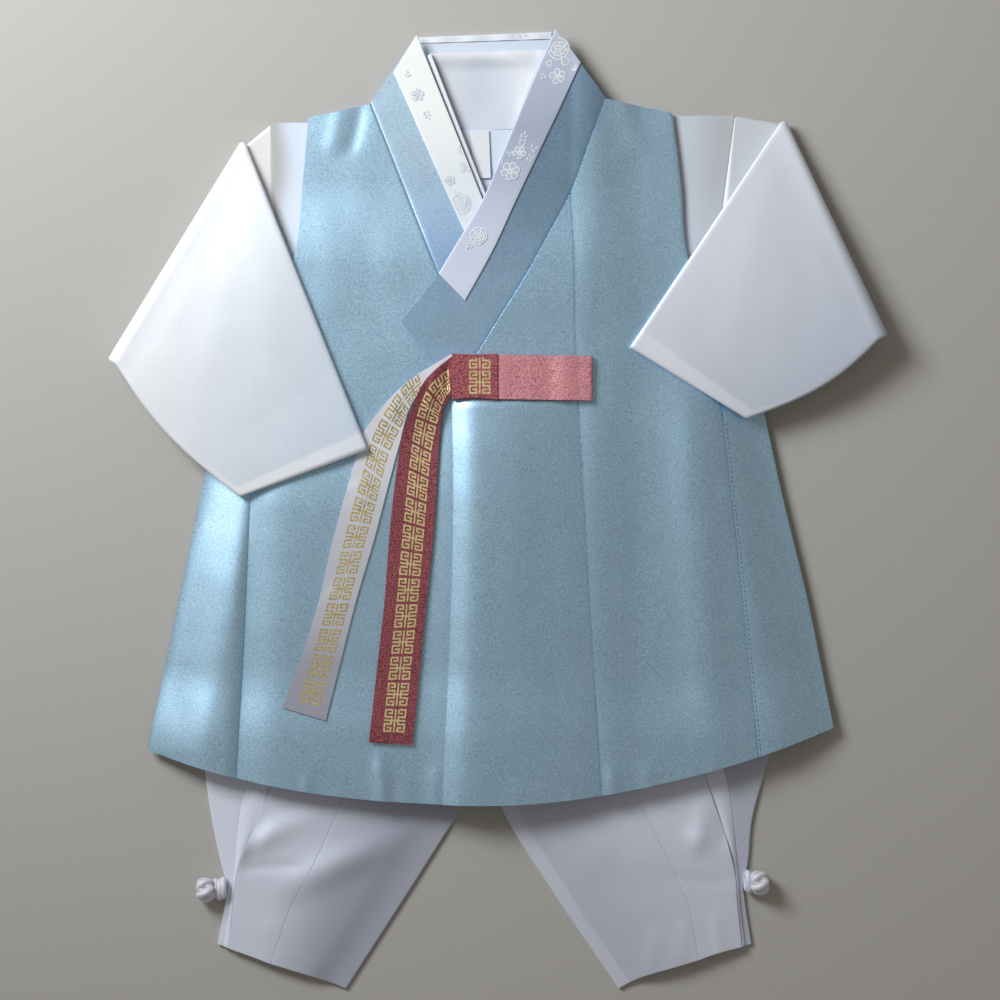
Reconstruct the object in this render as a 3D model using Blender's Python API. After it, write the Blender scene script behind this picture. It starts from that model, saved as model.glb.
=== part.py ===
"""A baby boy's hanbok set laid flat: trousers, jacket with folded sleeves, vest and tie.

Each piece that is cut and sewn is one object, a wall of cloth at its real size. All sizes are
in millimetres, and MM turns them into Blender's metres. x runs across the set, y runs up to
the collar and z runs up from the surface that the set lies on. Left is -x and right is +x.
"""

import math
from collections import namedtuple

import bmesh
import bpy
import numpy as np
from mathutils import Matrix, Vector

# ---- Sizes that the whole set shares ----

MM = 0.001
WALL = 1.1  # thickness of a piece of cloth
THIN_WALL = 0.9  # thickness of the white strips and the label
SEAM = 0.3  # gap between two pieces at a seam
REST = 0.4  # gap under a piece that lies on another

# ---- Heights of the layers of vest and jacket above the bed that they lie on ----

VEST_BACK = 0.0
JACKET_BACK = 1.8
LABEL = JACKET_BACK + WALL + 0.3
JACKET_UNDER = 4.7
JACKET_OVER = 6.5
VEST_UNDER = 8.3
VEST_OVER = 10.2
OVER_COLLAR_LIFT = 1.4  # how much higher the over front lies where it crosses the white strip
TROUSER_BED = 3.5  # height of the bed on the trousers
PLEAT_BED = 2.6  # what the pleats add to it at the hem
SIDE_SLOPE = 40.0  # width over which a front comes down to the back at a side seam
PUFF = 2.4  # how far a skirt panel stands up between two seams
LEG_PUFF = 2.6  # how far a leg stands up below the vest

# ---- Outlines: a line down the set gives x for each y, from (y, x) points ----


def ramp(value, start, end):
    """Goes smoothly from 0 at start to 1 at end."""
    t = min(max((value - start) / (end - start), 0.0), 1.0)
    return t * t * (3 - 2 * t)


def line(*points):
    """A seam or edge that runs down the set: a smooth curve through its (y, x) points."""
    ys, xs = np.array(sorted(points), float).T
    slopes = np.gradient(xs, ys)

    def x_at(y):
        i = int(np.clip(np.searchsorted(ys, y) - 1, 0, len(ys) - 2))
        width = ys[i + 1] - ys[i]
        t = min(max((y - ys[i]) / width, 0.0), 1.0)
        start = (1 + 2 * t) * (1 - t) ** 2 * xs[i] + t * (1 - t) ** 2 * width * slopes[i]
        end = t * t * (3 - 2 * t) * xs[i + 1] + t * t * (t - 1) * width * slopes[i + 1]
        return start + end

    return x_at


def joined(upper, lower, y_join):
    """One line from two that meet at y_join, with a corner there."""
    return lambda y: upper(y) if y > y_join else lower(y)


def ends(first, last):
    """A straight top or bottom edge: y for each u across the panel."""
    return lambda u: first + (last - first) * u


# The vest's vertical seams. Above the armpit the side lines lean out, past the armholes.
VEST_CENTRE = -5.0
HEM_MIDDLE = -190.5
HEM_HALF = 223.0
HEM_LEFT = (34.9, 2.3)  # rise at the side seam, and the power with which it comes
HEM_RIGHT = (48.7, 1.85)
VEST_SIDE_LEFT = line((164, -198), (114, -172), (26, -190), (-66, -209), (-156, -228))
VEST_GORE_LEFT = line((122, -154), (10, -160), (-90, -164.5), (-174, -169))
VEST_GORE_RIGHT = line((125, 140), (62, 146), (-40, 157), (-160, 169))
VEST_SIDE_RIGHT = line((164, 190), (112, 162), (62, 174), (20, 183), (-59, 202), (-141, 218.5))
OVERLAP_EDGE = line((74, -30), (30, -29), (-33, -29.5), (-124, -33), (-191, -36))
OVERLAP_SEAM = line((206, 47.5), (176, 49.5), (100, 51), (26, 55), (-72, 60.5), (-186, 67.5))
UNDER_EDGE = line((140, -33), (107, -20), (0, -8), (-190, 2))


def hem(x):
    """The vest's hem is a shallow bow, a little higher at the right because the set lies turned."""
    across = (x - VEST_CENTRE) / HEM_HALF
    rise, power = HEM_LEFT if across < 0 else HEM_RIGHT
    return HEM_MIDDLE + rise * abs(across) ** power


def hem_between(left, right, lift=0.0):
    """The hem of one panel, as y for each u, found where its two seams reach the hem."""

    def y_at(u):
        first, last = left(HEM_MIDDLE), right(HEM_MIDDLE)
        return hem(first + (last - first) * u) + lift

    return y_at


# ---- Heights ----


def bed(y):
    """Height of the surface under vest and jacket: the floor at the neck, then the trousers."""
    return TROUSER_BED * ramp(y, 215, 158) + PLEAT_BED * ramp(y, -100, -150)


def puff(x, y, left, right):
    across = (x - left(y)) / (right(y) - left(y))
    return PUFF * math.sin(math.pi * min(max(across, 0.0), 1.0)) * ramp(y, 30, -90)


def front_height(x, y, level):
    """Underside of a vest front: it comes down to the back at both side seams."""
    inside = min(x - VEST_SIDE_LEFT(y), VEST_SIDE_RIGHT(y) - x)
    edge = VEST_BACK + WALL + REST
    return bed(y) + edge + (level - edge) * ramp(inside, 0, SIDE_SLOPE)


def vest_under_height(x, y):
    if x < VEST_GORE_LEFT(y):
        swell = puff(x, y, VEST_SIDE_LEFT, VEST_GORE_LEFT)
    else:
        swell = puff(x, y, VEST_GORE_LEFT, UNDER_EDGE)
    return front_height(x, y, VEST_UNDER) + swell


def vest_over_height(x, y):
    crossing = OVER_COLLAR_LIFT * ramp(y, 100, 150)
    level = VEST_UNDER + (VEST_OVER + crossing - VEST_UNDER) * ramp(x, 95, 60)
    if x < OVERLAP_SEAM(y):
        swell = puff(x, y, OVERLAP_EDGE, OVERLAP_SEAM)
    elif x < VEST_GORE_RIGHT(y):
        swell = puff(x, y, OVERLAP_SEAM, VEST_GORE_RIGHT)
    else:
        swell = puff(x, y, VEST_GORE_RIGHT, VEST_SIDE_RIGHT)
    # Where the overlap lies on the under front, it rides over that front's own swell.
    below = puff(x, y, VEST_GORE_LEFT, UNDER_EDGE) if x < UNDER_EDGE(y) else 0.0
    return front_height(x, y, level) + max(swell, below)


def jacket_over_height(x, y):
    return bed(y) + JACKET_UNDER + (JACKET_OVER - JACKET_UNDER) * ramp(x, 100, 60)


def at_level(level):
    return lambda x, y: bed(y) + level


# ---- Cloths ----


def srgb(hexadecimal):
    """A colour written as six hex digits, in Blender's linear light."""
    parts = [int(hexadecimal[i : i + 2], 16) / 255 for i in (0, 2, 4)]
    return [p / 12.92 if p <= 0.04045 else ((p + 0.055) / 1.055) ** 2.4 for p in parts]


def cloth(name, colour, roughness):
    material = bpy.data.materials.new(name)
    material.use_nodes = True
    shader = material.node_tree.nodes["Principled BSDF"]
    shader.inputs["Base Color"].default_value = (*srgb(colour), 1.0)
    shader.inputs["Roughness"].default_value = roughness
    material.diffuse_color = (*srgb(colour), 1.0)
    return material


# ---- Making pieces ----


def finish(name, bm, material):
    """Turns a bmesh in millimetres into the named object, faces out."""
    bmesh.ops.scale(bm, vec=(MM, MM, MM), verts=bm.verts)
    bmesh.ops.recalc_face_normals(bm, faces=bm.faces)
    mesh = bpy.data.meshes.new(name)
    bm.to_mesh(mesh)
    bm.free()
    mesh.materials.append(material)
    piece = bpy.data.objects.new(name, mesh)
    bpy.context.scene.collection.objects.link(piece)
    return piece


def sheet(name, place, columns, rows, material, wall=WALL):
    """A wall of cloth: a flat grid whose points go to place(u, v), thickened straight up."""
    bm = bmesh.new()
    bmesh.ops.create_grid(bm, x_segments=columns, y_segments=rows, size=0.5)
    for vert in bm.verts:
        vert.co = Vector(place(vert.co.x + 0.5, 0.5 - vert.co.y))
    raised = bmesh.ops.extrude_face_region(bm, geom=bm.faces[:])["geom"]
    top = [item for item in raised if isinstance(item, bmesh.types.BMVert)]
    bmesh.ops.translate(bm, verts=top, vec=(0, 0, wall))
    return finish(name, bm, material)


def panel(name, left, right, top, bottom, height, columns, rows, material, ease=1.0):
    """A cut panel between two lines down the set and two edges across it.

    An ease under 1 sets its rows closer together towards the bottom.
    """

    def place(u, v):
        v = v**ease
        y = top(u) * (1 - v) + bottom(u) * v
        x = (left(y) + SEAM / 2) * (1 - u) + (right(y) - SEAM / 2) * u
        return x, y, height(x, y)

    return sheet(name, place, columns, rows, material)


def along(points, t):
    """A point of a smooth open curve through the given points, t from 0 to 1."""
    position = t * (len(points) - 1)
    i = min(int(position), len(points) - 2)
    t = position - i
    p = [Vector(points[min(max(k, 0), len(points) - 1)]) for k in range(i - 1, i + 3)]
    return 0.5 * (
        2 * p[1]
        + (p[2] - p[0]) * t
        + (2 * p[0] - 5 * p[1] + 4 * p[2] - p[3]) * t * t
        + (3 * p[1] - p[0] - 3 * p[2] + p[3]) * t * t * t
    )


def band(name, edges, height, columns, rows, material, gap=0.0, wall=WALL):
    """A band or ribbon between two edges, each a curve through its points from the top down."""
    first, second = edges

    def place(u, v):
        a, b = along(first, v), along(second, v)
        inset = gap / (b - a).length
        x, y = a.lerp(b, inset + (1 - 2 * inset) * u)
        return x, y, height(x, y)

    return sheet(name, place, columns, rows, material, wall)


def loft(name, rings, material, closed=False):
    """A body through closed rings of points. It is capped, or its last ring joins its first."""
    bm = bmesh.new()
    rows = [[bm.verts.new(point) for point in ring] for ring in rings]
    count = len(rows[0])
    pairs = list(zip(rows, rows[1:] + rows[:1])) if closed else list(zip(rows, rows[1:]))
    for low, high in pairs:
        for i in range(count):
            j = (i + 1) % count
            bm.faces.new((low[i], low[j], high[j], high[i]))
    if not closed:
        bm.faces.new(rows[0])
        bm.faces.new(rows[-1])
    return finish(name, bm, material)


def rounded_box(name, low, high, radius, material):
    """A block between two corners with rounded edges."""
    low, high = Vector(low), Vector(high)
    bm = bmesh.new()
    sizes = high - low
    matrix = Matrix.Translation((low + high) / 2) @ Matrix.Diagonal((*sizes, 1.0))
    bmesh.ops.create_cube(bm, size=1.0, matrix=matrix)
    bmesh.ops.bevel(
        bm, geom=bm.edges[:], offset=radius, segments=2, profile=0.5, affect="EDGES", material=-1
    )
    return finish(name, bm, material)


def ball(name, centre, radii, material):
    bm = bmesh.new()
    matrix = Matrix.Translation(centre) @ Matrix.Diagonal((*radii, 1.0))
    bmesh.ops.create_uvsphere(bm, u_segments=12, v_segments=8, radius=1.0, matrix=matrix)
    return finish(name, bm, material)


# ---- Trousers ----

WAIST = 150.0
CROTCH = (-6.8, -171.0)
TROUSER_CENTRE = line((WAIST, -6.8), (CROTCH[1], -6.8))
TROUSER_BACK = 0.0
TROUSER_FRONT = TROUSER_BACK + WALL + 0.5
PLEAT_STEP = WALL + REST  # rise from one fold of the ankle pleat to the next
PLEAT_START = -100.0
PLEAT_TOP = -125.0  # top of the pleat's strip, where it is wide enough to be a piece
PLEAT_SPAN = (-118, -150)  # y where the pleat's folds start to lift the front, and where they end
PLEAT_REACH = 0.45  # how far they lift it, as a share of the width from its edge to the inner seam
LEG_SLOPE = 30.0  # width over which a leg comes down to its back at the inner seam
LEG_SHOWN = (6, 50)  # how far below the vest's hem a leg starts to stand up, and stands up fully
LEG_EASE = 0.55
KNOT_RADIUS = 6.5
LOOP_WIDTH = 10.0
LOOP_HEIGHT = 9.0
LOOP_ROUND = 0.8  # radius of its rounded edges

# Lines down each leg, from the waist to the ankle hem, and the hem's two ends. From PLEAT_START
# down, the outer panel ends at the fold line and the front's outer part at the edge line, and the
# pleat's strip shows between them.
Leg = namedtuple("Leg", "side outer fold edge seam inner hem_outer hem_inner knot")
LEGS = (
    Leg(
        side="left",
        outer=line((150, -150), (0, -184), (-100, -194), (-168, -191), (-235, -179), (-246, -176),
                   (-256, -177.5), (-283, -182.5)),
        fold=line((-100, -136), (-140, -149), (-179, -164), (-240, -172.5), (-256, -174.5),
                  (-283, -178.5)),
        edge=line((150, -108), (0, -126), (-100, -136), (-150, -141), (-182, -149), (-238, -169.5),
                  (-256, -172), (-283, -174)),
        seam=line((150, -60), (-120, -88), (-192, -102.5), (-224, -116.5), (-260, -135), (-294, -147)),
        inner=line((CROTCH[1], -7.2), (-188, -19), (-250, -59), (-312, -99)),
        hem_outer=(-182.5, -283.0),
        hem_inner=(-99.0, -312.0),
        knot=(-191.0, -246.5),
    ),
    Leg(
        side="right",
        outer=line((150, 136), (0, 176), (-100, 186), (-159, 177), (-204, 165.5), (-233, 162.5),
                   (-243, 160), (-254, 161), (-283, 165.5)),
        fold=line((-100, 124), (-140, 139), (-179, 150), (-221, 155.5), (-240, 157), (-254, 158),
                  (-283, 161.5)),
        edge=line((150, 96), (0, 114), (-100, 124), (-150, 128), (-179, 137), (-214, 149),
                  (-240, 155), (-254, 156), (-283, 159)),
        seam=line((150, 52), (-120, 82), (-189, 92.5), (-229, 112), (-257, 124), (-293, 131)),
        inner=line((CROTCH[1], -6.4), (-192, 1.5), (-250, 37), (-312, 79)),
        hem_outer=(165.5, -283.0),
        hem_inner=(79.0, -312.0),
        knot=(171.5, -242.0),
    ),
)


def ankle_hem(leg, first, last):
    """The straight ankle hem between two lines of the leg, as y for each u."""
    (x0, y0), (x1, y1) = leg.hem_outer, leg.hem_inner
    slope = (y1 - y0) / (x1 - x0)

    def meeting(edge):
        x = edge(y0)
        for _ in range(20):
            x = edge(y0 + slope * (x - x0))
        return x

    start, end = meeting(first), meeting(last)
    return lambda u: y0 + slope * (start + (end - start) * u - x0)


def leg_height(leg):
    """Underside of a leg's front: flat under the vest, standing up below it, down at the inside."""

    def height(x, y):
        inside = abs(x - leg.inner(y)) if y < CROTCH[1] else SIDE_SLOPE
        # The pleat's folds lie between back and front at the leg's outer side.
        across = abs(x - leg.edge(y)) / max(abs(leg.inner(y) - leg.edge(y)), 1.0)
        folds = 2 * PLEAT_STEP * ramp(y, *PLEAT_SPAN) * ramp(across, 1.0, PLEAT_REACH)
        shown = ramp(hem(x) - y, *LEG_SHOWN)
        swell = LEG_PUFF * shown * math.sin(math.pi * min(across, 1.0))
        edge = TROUSER_BACK + WALL + REST
        full = TROUSER_FRONT + folds + swell
        return edge + (full - edge) * ramp(inside, 0, LEG_SLOPE)

    return height


def leg_pieces(leg, white):
    """The pieces of one leg. Across a leg, u runs from left to right in every piece."""
    from_left = leg.side == "left"

    def piece(label, outer, inner, top, height, columns, rows, ease=LEG_EASE):
        to_inner = ankle_hem(leg, outer, inner)
        left, right = (outer, inner) if from_left else (inner, outer)

        def bottom(u):
            return to_inner(u if from_left else 1 - u)

        name = f"trouser_{leg.side}_{label}"
        panel(name, left, right, ends(top, top), bottom, height, columns, rows, white, ease)

    def inner_line(y):
        return TROUSER_CENTRE(y) if y > CROTCH[1] else leg.inner(y)

    def strip_height(x, y):
        """The pleat's strip rises from the outer panel to the front's edge."""
        width = max(abs(leg.edge(y) - leg.fold(y)), 0.1)
        return low + PLEAT_STEP * (0.2 + min(abs(x - leg.fold(y)) / width, 1.0))

    low = TROUSER_BACK + WALL + REST
    height = leg_height(leg)
    outer_end = joined(leg.edge, leg.fold, PLEAT_START)
    piece("back", leg.outer, inner_line, WAIST, lambda x, y: TROUSER_BACK, 5, 16)
    piece("front_inner", leg.seam, inner_line, WAIST, height, 7, 16)
    piece("front_outer", leg.edge, leg.seam, WAIST, height, 5, 16)
    piece("outer", leg.outer, outer_end, WAIST, lambda x, y: low, 2, 16)
    piece("pleat", leg.fold, leg.edge, PLEAT_TOP, strip_height, 1, 8, ease=1.0)


def build_trousers(white):
    for leg in LEGS:
        leg_pieces(leg, white)
        x, y = leg.knot
        nearby = (y - LOOP_WIDTH / 2, y, y + LOOP_WIDTH / 2)
        ball(f"trouser_{leg.side}_knot", (x, y, KNOT_RADIUS), (KNOT_RADIUS,) * 3, white)
        # The knot's cord loop fills the space between the ball and the gathered leg.
        outward = -1 if leg.side == "left" else 1
        start = x - outward * (KNOT_RADIUS + SEAM)
        end = outward * (max(outward * leg.outer(level) for level in nearby) + WALL)
        low = (min(start, end), y - LOOP_WIDTH / 2, 0.0)
        high = (max(start, end), y + LOOP_WIDTH / 2, LOOP_HEIGHT)
        rounded_box(f"trouser_{leg.side}_loop", low, high, LOOP_ROUND, white)


# ---- Jacket ----

# The armhole seams, the side seams and the hem, which the vest hides.
JACKET_LEFT = line((252, -147), (190, -143), (134, -140), (90, -144), (20, -150))
JACKET_RIGHT = line((257, 153), (190, 144), (134, 136), (90, 138), (20, 142))
JACKET_HEM = 20.0
NECK_SEAM = 248.0  # y of the seam between the back and the collar at the nape
NAPE_LEFT = line((298, -44), (NECK_SEAM, -62))  # the ends of the collar's piece at the nape
NAPE_RIGHT = line((298, 30), (NECK_SEAM, 50))
NAPE_TOP = (297.0, 299.5)
COLLAR_WIDTH = 47.5
NECK_CORNER_LEFT = Vector((-81.3, 263.0))  # where the collar's outer edge meets the shoulder
NECK_CORNER_RIGHT = Vector((67.8, 266.0))
SHOULDER_BEND = 0.37  # share of a shoulder that is level, next to its sleeve
JACKET_SHOULDER_LEFT = (252.0, 252.0, 260.5)  # y at the sleeve, at the bend and at the collar
JACKET_SHOULDER_RIGHT = (257.0, 256.5, 263.5)
LABEL_WIDTH = 11.7
LABEL_LENGTH = 31.0
LABEL_CENTRE = Vector((-10.8, 231.5))
LABEL_TURN = math.radians(2.0)


def offset_edge(points, width):
    """The other edge of a band of even width, on the side to the right of its run."""
    curve = [Vector(p) for p in points]
    other = []
    for i, point in enumerate(curve):
        run = (curve[min(i + 1, len(curve) - 1)] - curve[max(i - 1, 0)]).normalized()
        other.append(point + Vector((-run.y, run.x)) * width)
    return other


JACKET_COLLAR_LEFT = [(-43.5, 297.0), (-31.5, 266.0), (-19.0, 234.0), (-6.0, 201.0), (5.0, 172.0)]
JACKET_COLLAR_RIGHT = [(29.5, 299.5), (17.5, 268.0), (5.0, 234.0), (-7.5, 202.0), (-24.0, 172.0),
                       (-44.0, 146.0)]


def collar_side(points):
    """The collar's outer edge as a line down the set, for the front that is sewn to it."""
    return line(*[(p[1], p[0]) for p in points])


def build_jacket(white, sheer):
    left_outer = [NECK_CORNER_LEFT] + offset_edge(JACKET_COLLAR_LEFT, -COLLAR_WIDTH)[1:]
    right_outer = [NECK_CORNER_RIGHT] + offset_edge(JACKET_COLLAR_RIGHT, COLLAR_WIDTH)[1:]
    band("jacket_collar_left", (JACKET_COLLAR_LEFT, left_outer), at_level(JACKET_UNDER),
         3, 8, white, gap=SEAM)
    band("jacket_collar_right", (JACKET_COLLAR_RIGHT, right_outer), jacket_over_height,
         3, 10, white, gap=SEAM)
    panel("jacket_collar_back", NAPE_LEFT, NAPE_RIGHT, ends(*NAPE_TOP), ends(NECK_SEAM, NECK_SEAM),
          at_level(JACKET_BACK), 6, 4, white)
    panel("jacket_back", JACKET_LEFT, JACKET_RIGHT, ends(NECK_SEAM - SEAM, NECK_SEAM - SEAM),
          ends(JACKET_HEM, JACKET_HEM), at_level(JACKET_BACK), 6, 8, sheer)
    left_seam = collar_side(left_outer)
    right_seam = collar_side(right_outer)

    def shoulder_left(u):
        return np.interp(u, (0, SHOULDER_BEND, 1), JACKET_SHOULDER_LEFT)

    def shoulder_right(u):
        return np.interp(1 - u, (0, SHOULDER_BEND, 1), JACKET_SHOULDER_RIGHT)

    panel("jacket_under_front", JACKET_LEFT, left_seam, shoulder_left,
          ends(JACKET_HEM, JACKET_HEM), at_level(JACKET_UNDER), 6, 10, sheer)
    panel("jacket_over_front", right_seam, JACKET_RIGHT, shoulder_right,
          ends(JACKET_HEM, JACKET_HEM), jacket_over_height, 8, 10, sheer)


def build_label(label_white):
    """The bare label, which hangs from the seam at the nape, slightly turned."""

    def place(u, v):
        across, down = (u - 0.5) * LABEL_WIDTH, (0.5 - v) * LABEL_LENGTH
        x, y = LABEL_CENTRE + Matrix.Rotation(LABEL_TURN, 2) @ Vector((across, down))
        return x, y, bed(y) + LABEL

    sheet("neck_label", place, 1, 2, label_white, wall=THIN_WALL)


# ---- Sleeves ----

SLEEVE_THICK = 3.7  # a flattened sleeve, over both of its layers
SLEEVE_CLEAR = 15.2  # height at which a sleeve lies on the vest
SLEEVE_COLUMNS = 7  # facets across a sleeve, and along its three stretches
LOWER_ROWS, FOLD_ROWS, UPPER_ROWS = 4, 6, 7
Sleeve = namedtuple("Sleeve", "side seam_top seam_under a d b c under_bow mid_z")
# a and d end the fold line, b and c end the cuff. Each is (x, y, height of the sleeve's middle),
# and for a and d that height is the lower part's. The bow is how far the underside curves out.
SLEEVES = (
    Sleeve("left", (-147.0, 251.6), (-140.0, 134.0), (-167, 240, 4.4), (-252.5, 97.5, 10.0),
           (-83.5, 39.0, 17.4), (-166.5, 8.5, 16.2), 7.0, (9.2, 21.0)),
    Sleeve("right", (153.0, 257.0), (136.0, 134.0), (187.5, 253.5, 4.4), (252.5, 113.0, 12.0),
           (85.5, 105.3, 16.6), (161.0, 59.0, 16.2), 8.0, (9.6, 24.0)),
)


def flat_ring(top, under, normal, half, columns):
    """The loop of points round a flattened sleeve, between its top edge and its underside."""
    there = [top.lerp(under, i / columns) + normal * half for i in range(columns + 1)]
    back = [top.lerp(under, i / columns) - normal * half for i in range(columns, -1, -1)]
    return there + back


def sleeve_sections(sleeve):
    """Rows of (top point, underside point, normal) from the armhole round the fold to the cuff."""
    a, d = Vector(sleeve.a), Vector(sleeve.d)
    b, c = Vector(sleeve.b), Vector(sleeve.c)
    up = Vector((0, 0, 1))
    out = Vector((0, 0, 1)).cross(d - a)
    out.z = 0
    out.normalize()
    if out.x * d.x < 0:
        out = -out
    upper_a, upper_d = sleeve.mid_z
    radius_a = (upper_a - a.z) / 2
    radius_d = (upper_d - d.z) / 2
    half = SLEEVE_THICK / 2
    seam_out = SEAM * (1 if d.x > 0 else -1)
    start_top = Vector((sleeve.seam_top[0] + seam_out, sleeve.seam_top[1],
                        bed(sleeve.seam_top[1]) + JACKET_BACK + half))
    start_under = Vector((sleeve.seam_under[0] + seam_out, sleeve.seam_under[1],
                          bed(sleeve.seam_under[1]) + JACKET_BACK + half))
    turn_a = a - out * (radius_a + half)
    turn_d = d - out * (radius_d + half)
    rows = []
    for i in range(LOWER_ROWS):
        t = i / LOWER_ROWS
        rows.append((start_top.lerp(turn_a, t), start_under.lerp(turn_d, t), up))
    for i in range(FOLD_ROWS + 1):
        angle = math.pi * i / FOLD_ROWS
        swing = out * math.sin(angle)
        lift = up * (1 - math.cos(angle))
        normal = up * math.cos(angle) - out * math.sin(angle)
        rows.append((turn_a + (swing + lift) * radius_a, turn_d + (swing + lift) * radius_d, normal))
    top_start, under_start = rows[-1][0], rows[-1][1]
    side = (c - b).normalized()
    for i in range(1, UPPER_ROWS + 1):
        t = i / UPPER_ROWS
        top = top_start.lerp(b, t)
        under = under_start.lerp(c, t) + side * sleeve.under_bow * math.sin(math.pi * t)
        # The sleeve rises quickly from its fold to clear the vest that it lies on.
        top.z += max(SLEEVE_CLEAR - top.z, 0) * ramp(t, 0, 0.45)
        rows.append((top, under, -up))
    return rows


def build_sleeve(sleeve, white):
    rows = sleeve_sections(sleeve)
    half = SLEEVE_THICK / 2
    outer = [flat_ring(top, under, normal, half, SLEEVE_COLUMNS) for top, under, normal in rows]
    inner = []
    for top, under, normal in reversed(rows):
        across = (under - top).normalized() * WALL
        inner.append(
            flat_ring(top + across, under - across, normal, half - WALL, SLEEVE_COLUMNS)
        )
    loft(f"jacket_sleeve_{sleeve.side}", outer + inner, white, closed=True)


# ---- Vest ----

# Edges of the vest's collar bands and of the white strips on them, from the neck down.
COLLAR_INNER_LEFT = [(-52.5, 308.5), (-38.0, 272.5), (-23.5, 236.5), (-9.5, 201.5), (5.0, 166.0)]
COLLAR_OUTER_LEFT = [(-82.5, 264.5), (-70.1, 233.4), (-57.7, 202.2), (-45.4, 171.1), (-33.0, 140.0)]
COLLAR_INNER_RIGHT = [(37.5, 312.0), (22.0, 276.0), (6.5, 238.5), (-9.5, 201.5), (-24.0, 176.5),
                      (-38.0, 153.0), (-51.0, 136.0), (-62.5, 122.0)]
COLLAR_OUTER_RIGHT = [(70.0, 267.5), (59.5, 238.0), (48.0, 206.5), (32.0, 176.5), (17.0, 149.5),
                      (2.0, 125.5), (-12.5, 102.0), (-28.0, 76.0)]
STRIP_OUTER_LEFT = [(-67.5, 284.0), (-55.0, 256.0), (-42.5, 227.5), (-30.0, 199.5), (-14.0, 164.0)]
STRIP_OUTER_RIGHT = [(54.0, 290.0), (39.5, 258.5), (25.0, 228.0), (11.5, 199.5), (-3.0, 168.0),
                     (-21.0, 135.5)]
STRIP_POINTS = 6  # the right white strip runs along this many points of its inner edge


# Heights of the vest's upper edges, at the left and the right end of each.
SHOULDER_LEFT = (254.8, 264.0)
SHOULDER_RIGHT = (267.0, 258.0)
ARMPIT_LEFT = (114.0, 122.0)
ARMPIT_RIGHT = (125.0, 112.0)
OVERLAP_TOP = 204.5
OVER_FRONT_TURN = 206.5  # where the over front's inner edge leaves the collar for the overlap seam
BACK_HEM_LIFT = 1.5  # the back's hem is a little shorter than the front's
# At the back of the neck: the ends of the collar and of its strip, and their upper and lower edges.
COLLAR_END_LEFT, COLLAR_END_RIGHT = line((306, -51), (264, -82)), line((308, 36), (266, 69))
COLLAR_BACK_TOP, COLLAR_BACK_SEAM = (304.0, 307.0), (264.6, 267.6)
STRIP_END_LEFT, STRIP_END_RIGHT = line((312, -50), (300, -50)), line((312, 35), (300, 35))
STRIP_BACK_TOP, STRIP_BACK_EDGE = (308.5, 312.0), (304.4, 307.4)
ARMHOLE_LEFT = line((254.8, -123.0), (214.5, -126.4), (161, -133), (138, -142), (122, -154))
ARMHOLE_RIGHT = line((258, 113.5), (214, 119), (161, 124), (140, 131), (125, 140))
EDGE_LEFT = joined(ARMHOLE_LEFT, VEST_GORE_LEFT, ARMPIT_LEFT[1])
EDGE_RIGHT = joined(ARMHOLE_RIGHT, VEST_GORE_RIGHT, ARMPIT_RIGHT[0])


def back_height(x, y):
    return bed(y) + VEST_BACK


def back_top(u):
    """The back's upper edge: two shoulders, and the neck seam between them."""
    return np.interp(u, (0, 1 / 6, 5 / 6, 1), (*SHOULDER_LEFT, *SHOULDER_RIGHT))


def build_vest_fronts(blue):
    collar_left = joined(collar_side(COLLAR_OUTER_LEFT), UNDER_EDGE, COLLAR_OUTER_LEFT[-1][1])
    panel("vest_under_front", EDGE_LEFT, collar_left, ends(*SHOULDER_LEFT),
          hem_between(VEST_GORE_LEFT, UNDER_EDGE), vest_under_height, 12, 16, blue)
    panel("vest_under_side", VEST_SIDE_LEFT, VEST_GORE_LEFT, ends(*ARMPIT_LEFT),
          hem_between(VEST_SIDE_LEFT, VEST_GORE_LEFT), vest_under_height, 5, 10, blue)
    collar_right = collar_side(COLLAR_OUTER_RIGHT[2:])
    overlap_left = joined(collar_right, OVERLAP_EDGE, COLLAR_OUTER_RIGHT[-1][1])
    panel("vest_overlap", overlap_left, OVERLAP_SEAM, ends(OVERLAP_TOP, OVERLAP_TOP),
          hem_between(OVERLAP_EDGE, OVERLAP_SEAM), vest_over_height, 8, 16, blue)
    over_left = joined(collar_side(COLLAR_OUTER_RIGHT[:3]), OVERLAP_SEAM, OVER_FRONT_TURN)
    panel("vest_over_front", over_left, EDGE_RIGHT, ends(*SHOULDER_RIGHT),
          hem_between(OVERLAP_SEAM, VEST_GORE_RIGHT), vest_over_height, 8, 16, blue)
    panel("vest_over_side", VEST_GORE_RIGHT, VEST_SIDE_RIGHT, ends(*ARMPIT_RIGHT),
          hem_between(VEST_GORE_RIGHT, VEST_SIDE_RIGHT), vest_over_height, 4, 10, blue)


def build_vest_back(blue):
    panel("vest_back", EDGE_LEFT, EDGE_RIGHT, back_top,
          hem_between(VEST_GORE_LEFT, VEST_GORE_RIGHT, BACK_HEM_LIFT), back_height, 12, 14, blue)
    panel("vest_back_side_left", VEST_SIDE_LEFT, VEST_GORE_LEFT, ends(*ARMPIT_LEFT),
          hem_between(VEST_SIDE_LEFT, VEST_GORE_LEFT, BACK_HEM_LIFT), back_height, 2, 10, blue)
    panel("vest_back_side_right", VEST_GORE_RIGHT, VEST_SIDE_RIGHT, ends(*ARMPIT_RIGHT),
          hem_between(VEST_GORE_RIGHT, VEST_SIDE_RIGHT, BACK_HEM_LIFT), back_height, 2, 10, blue)


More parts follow.
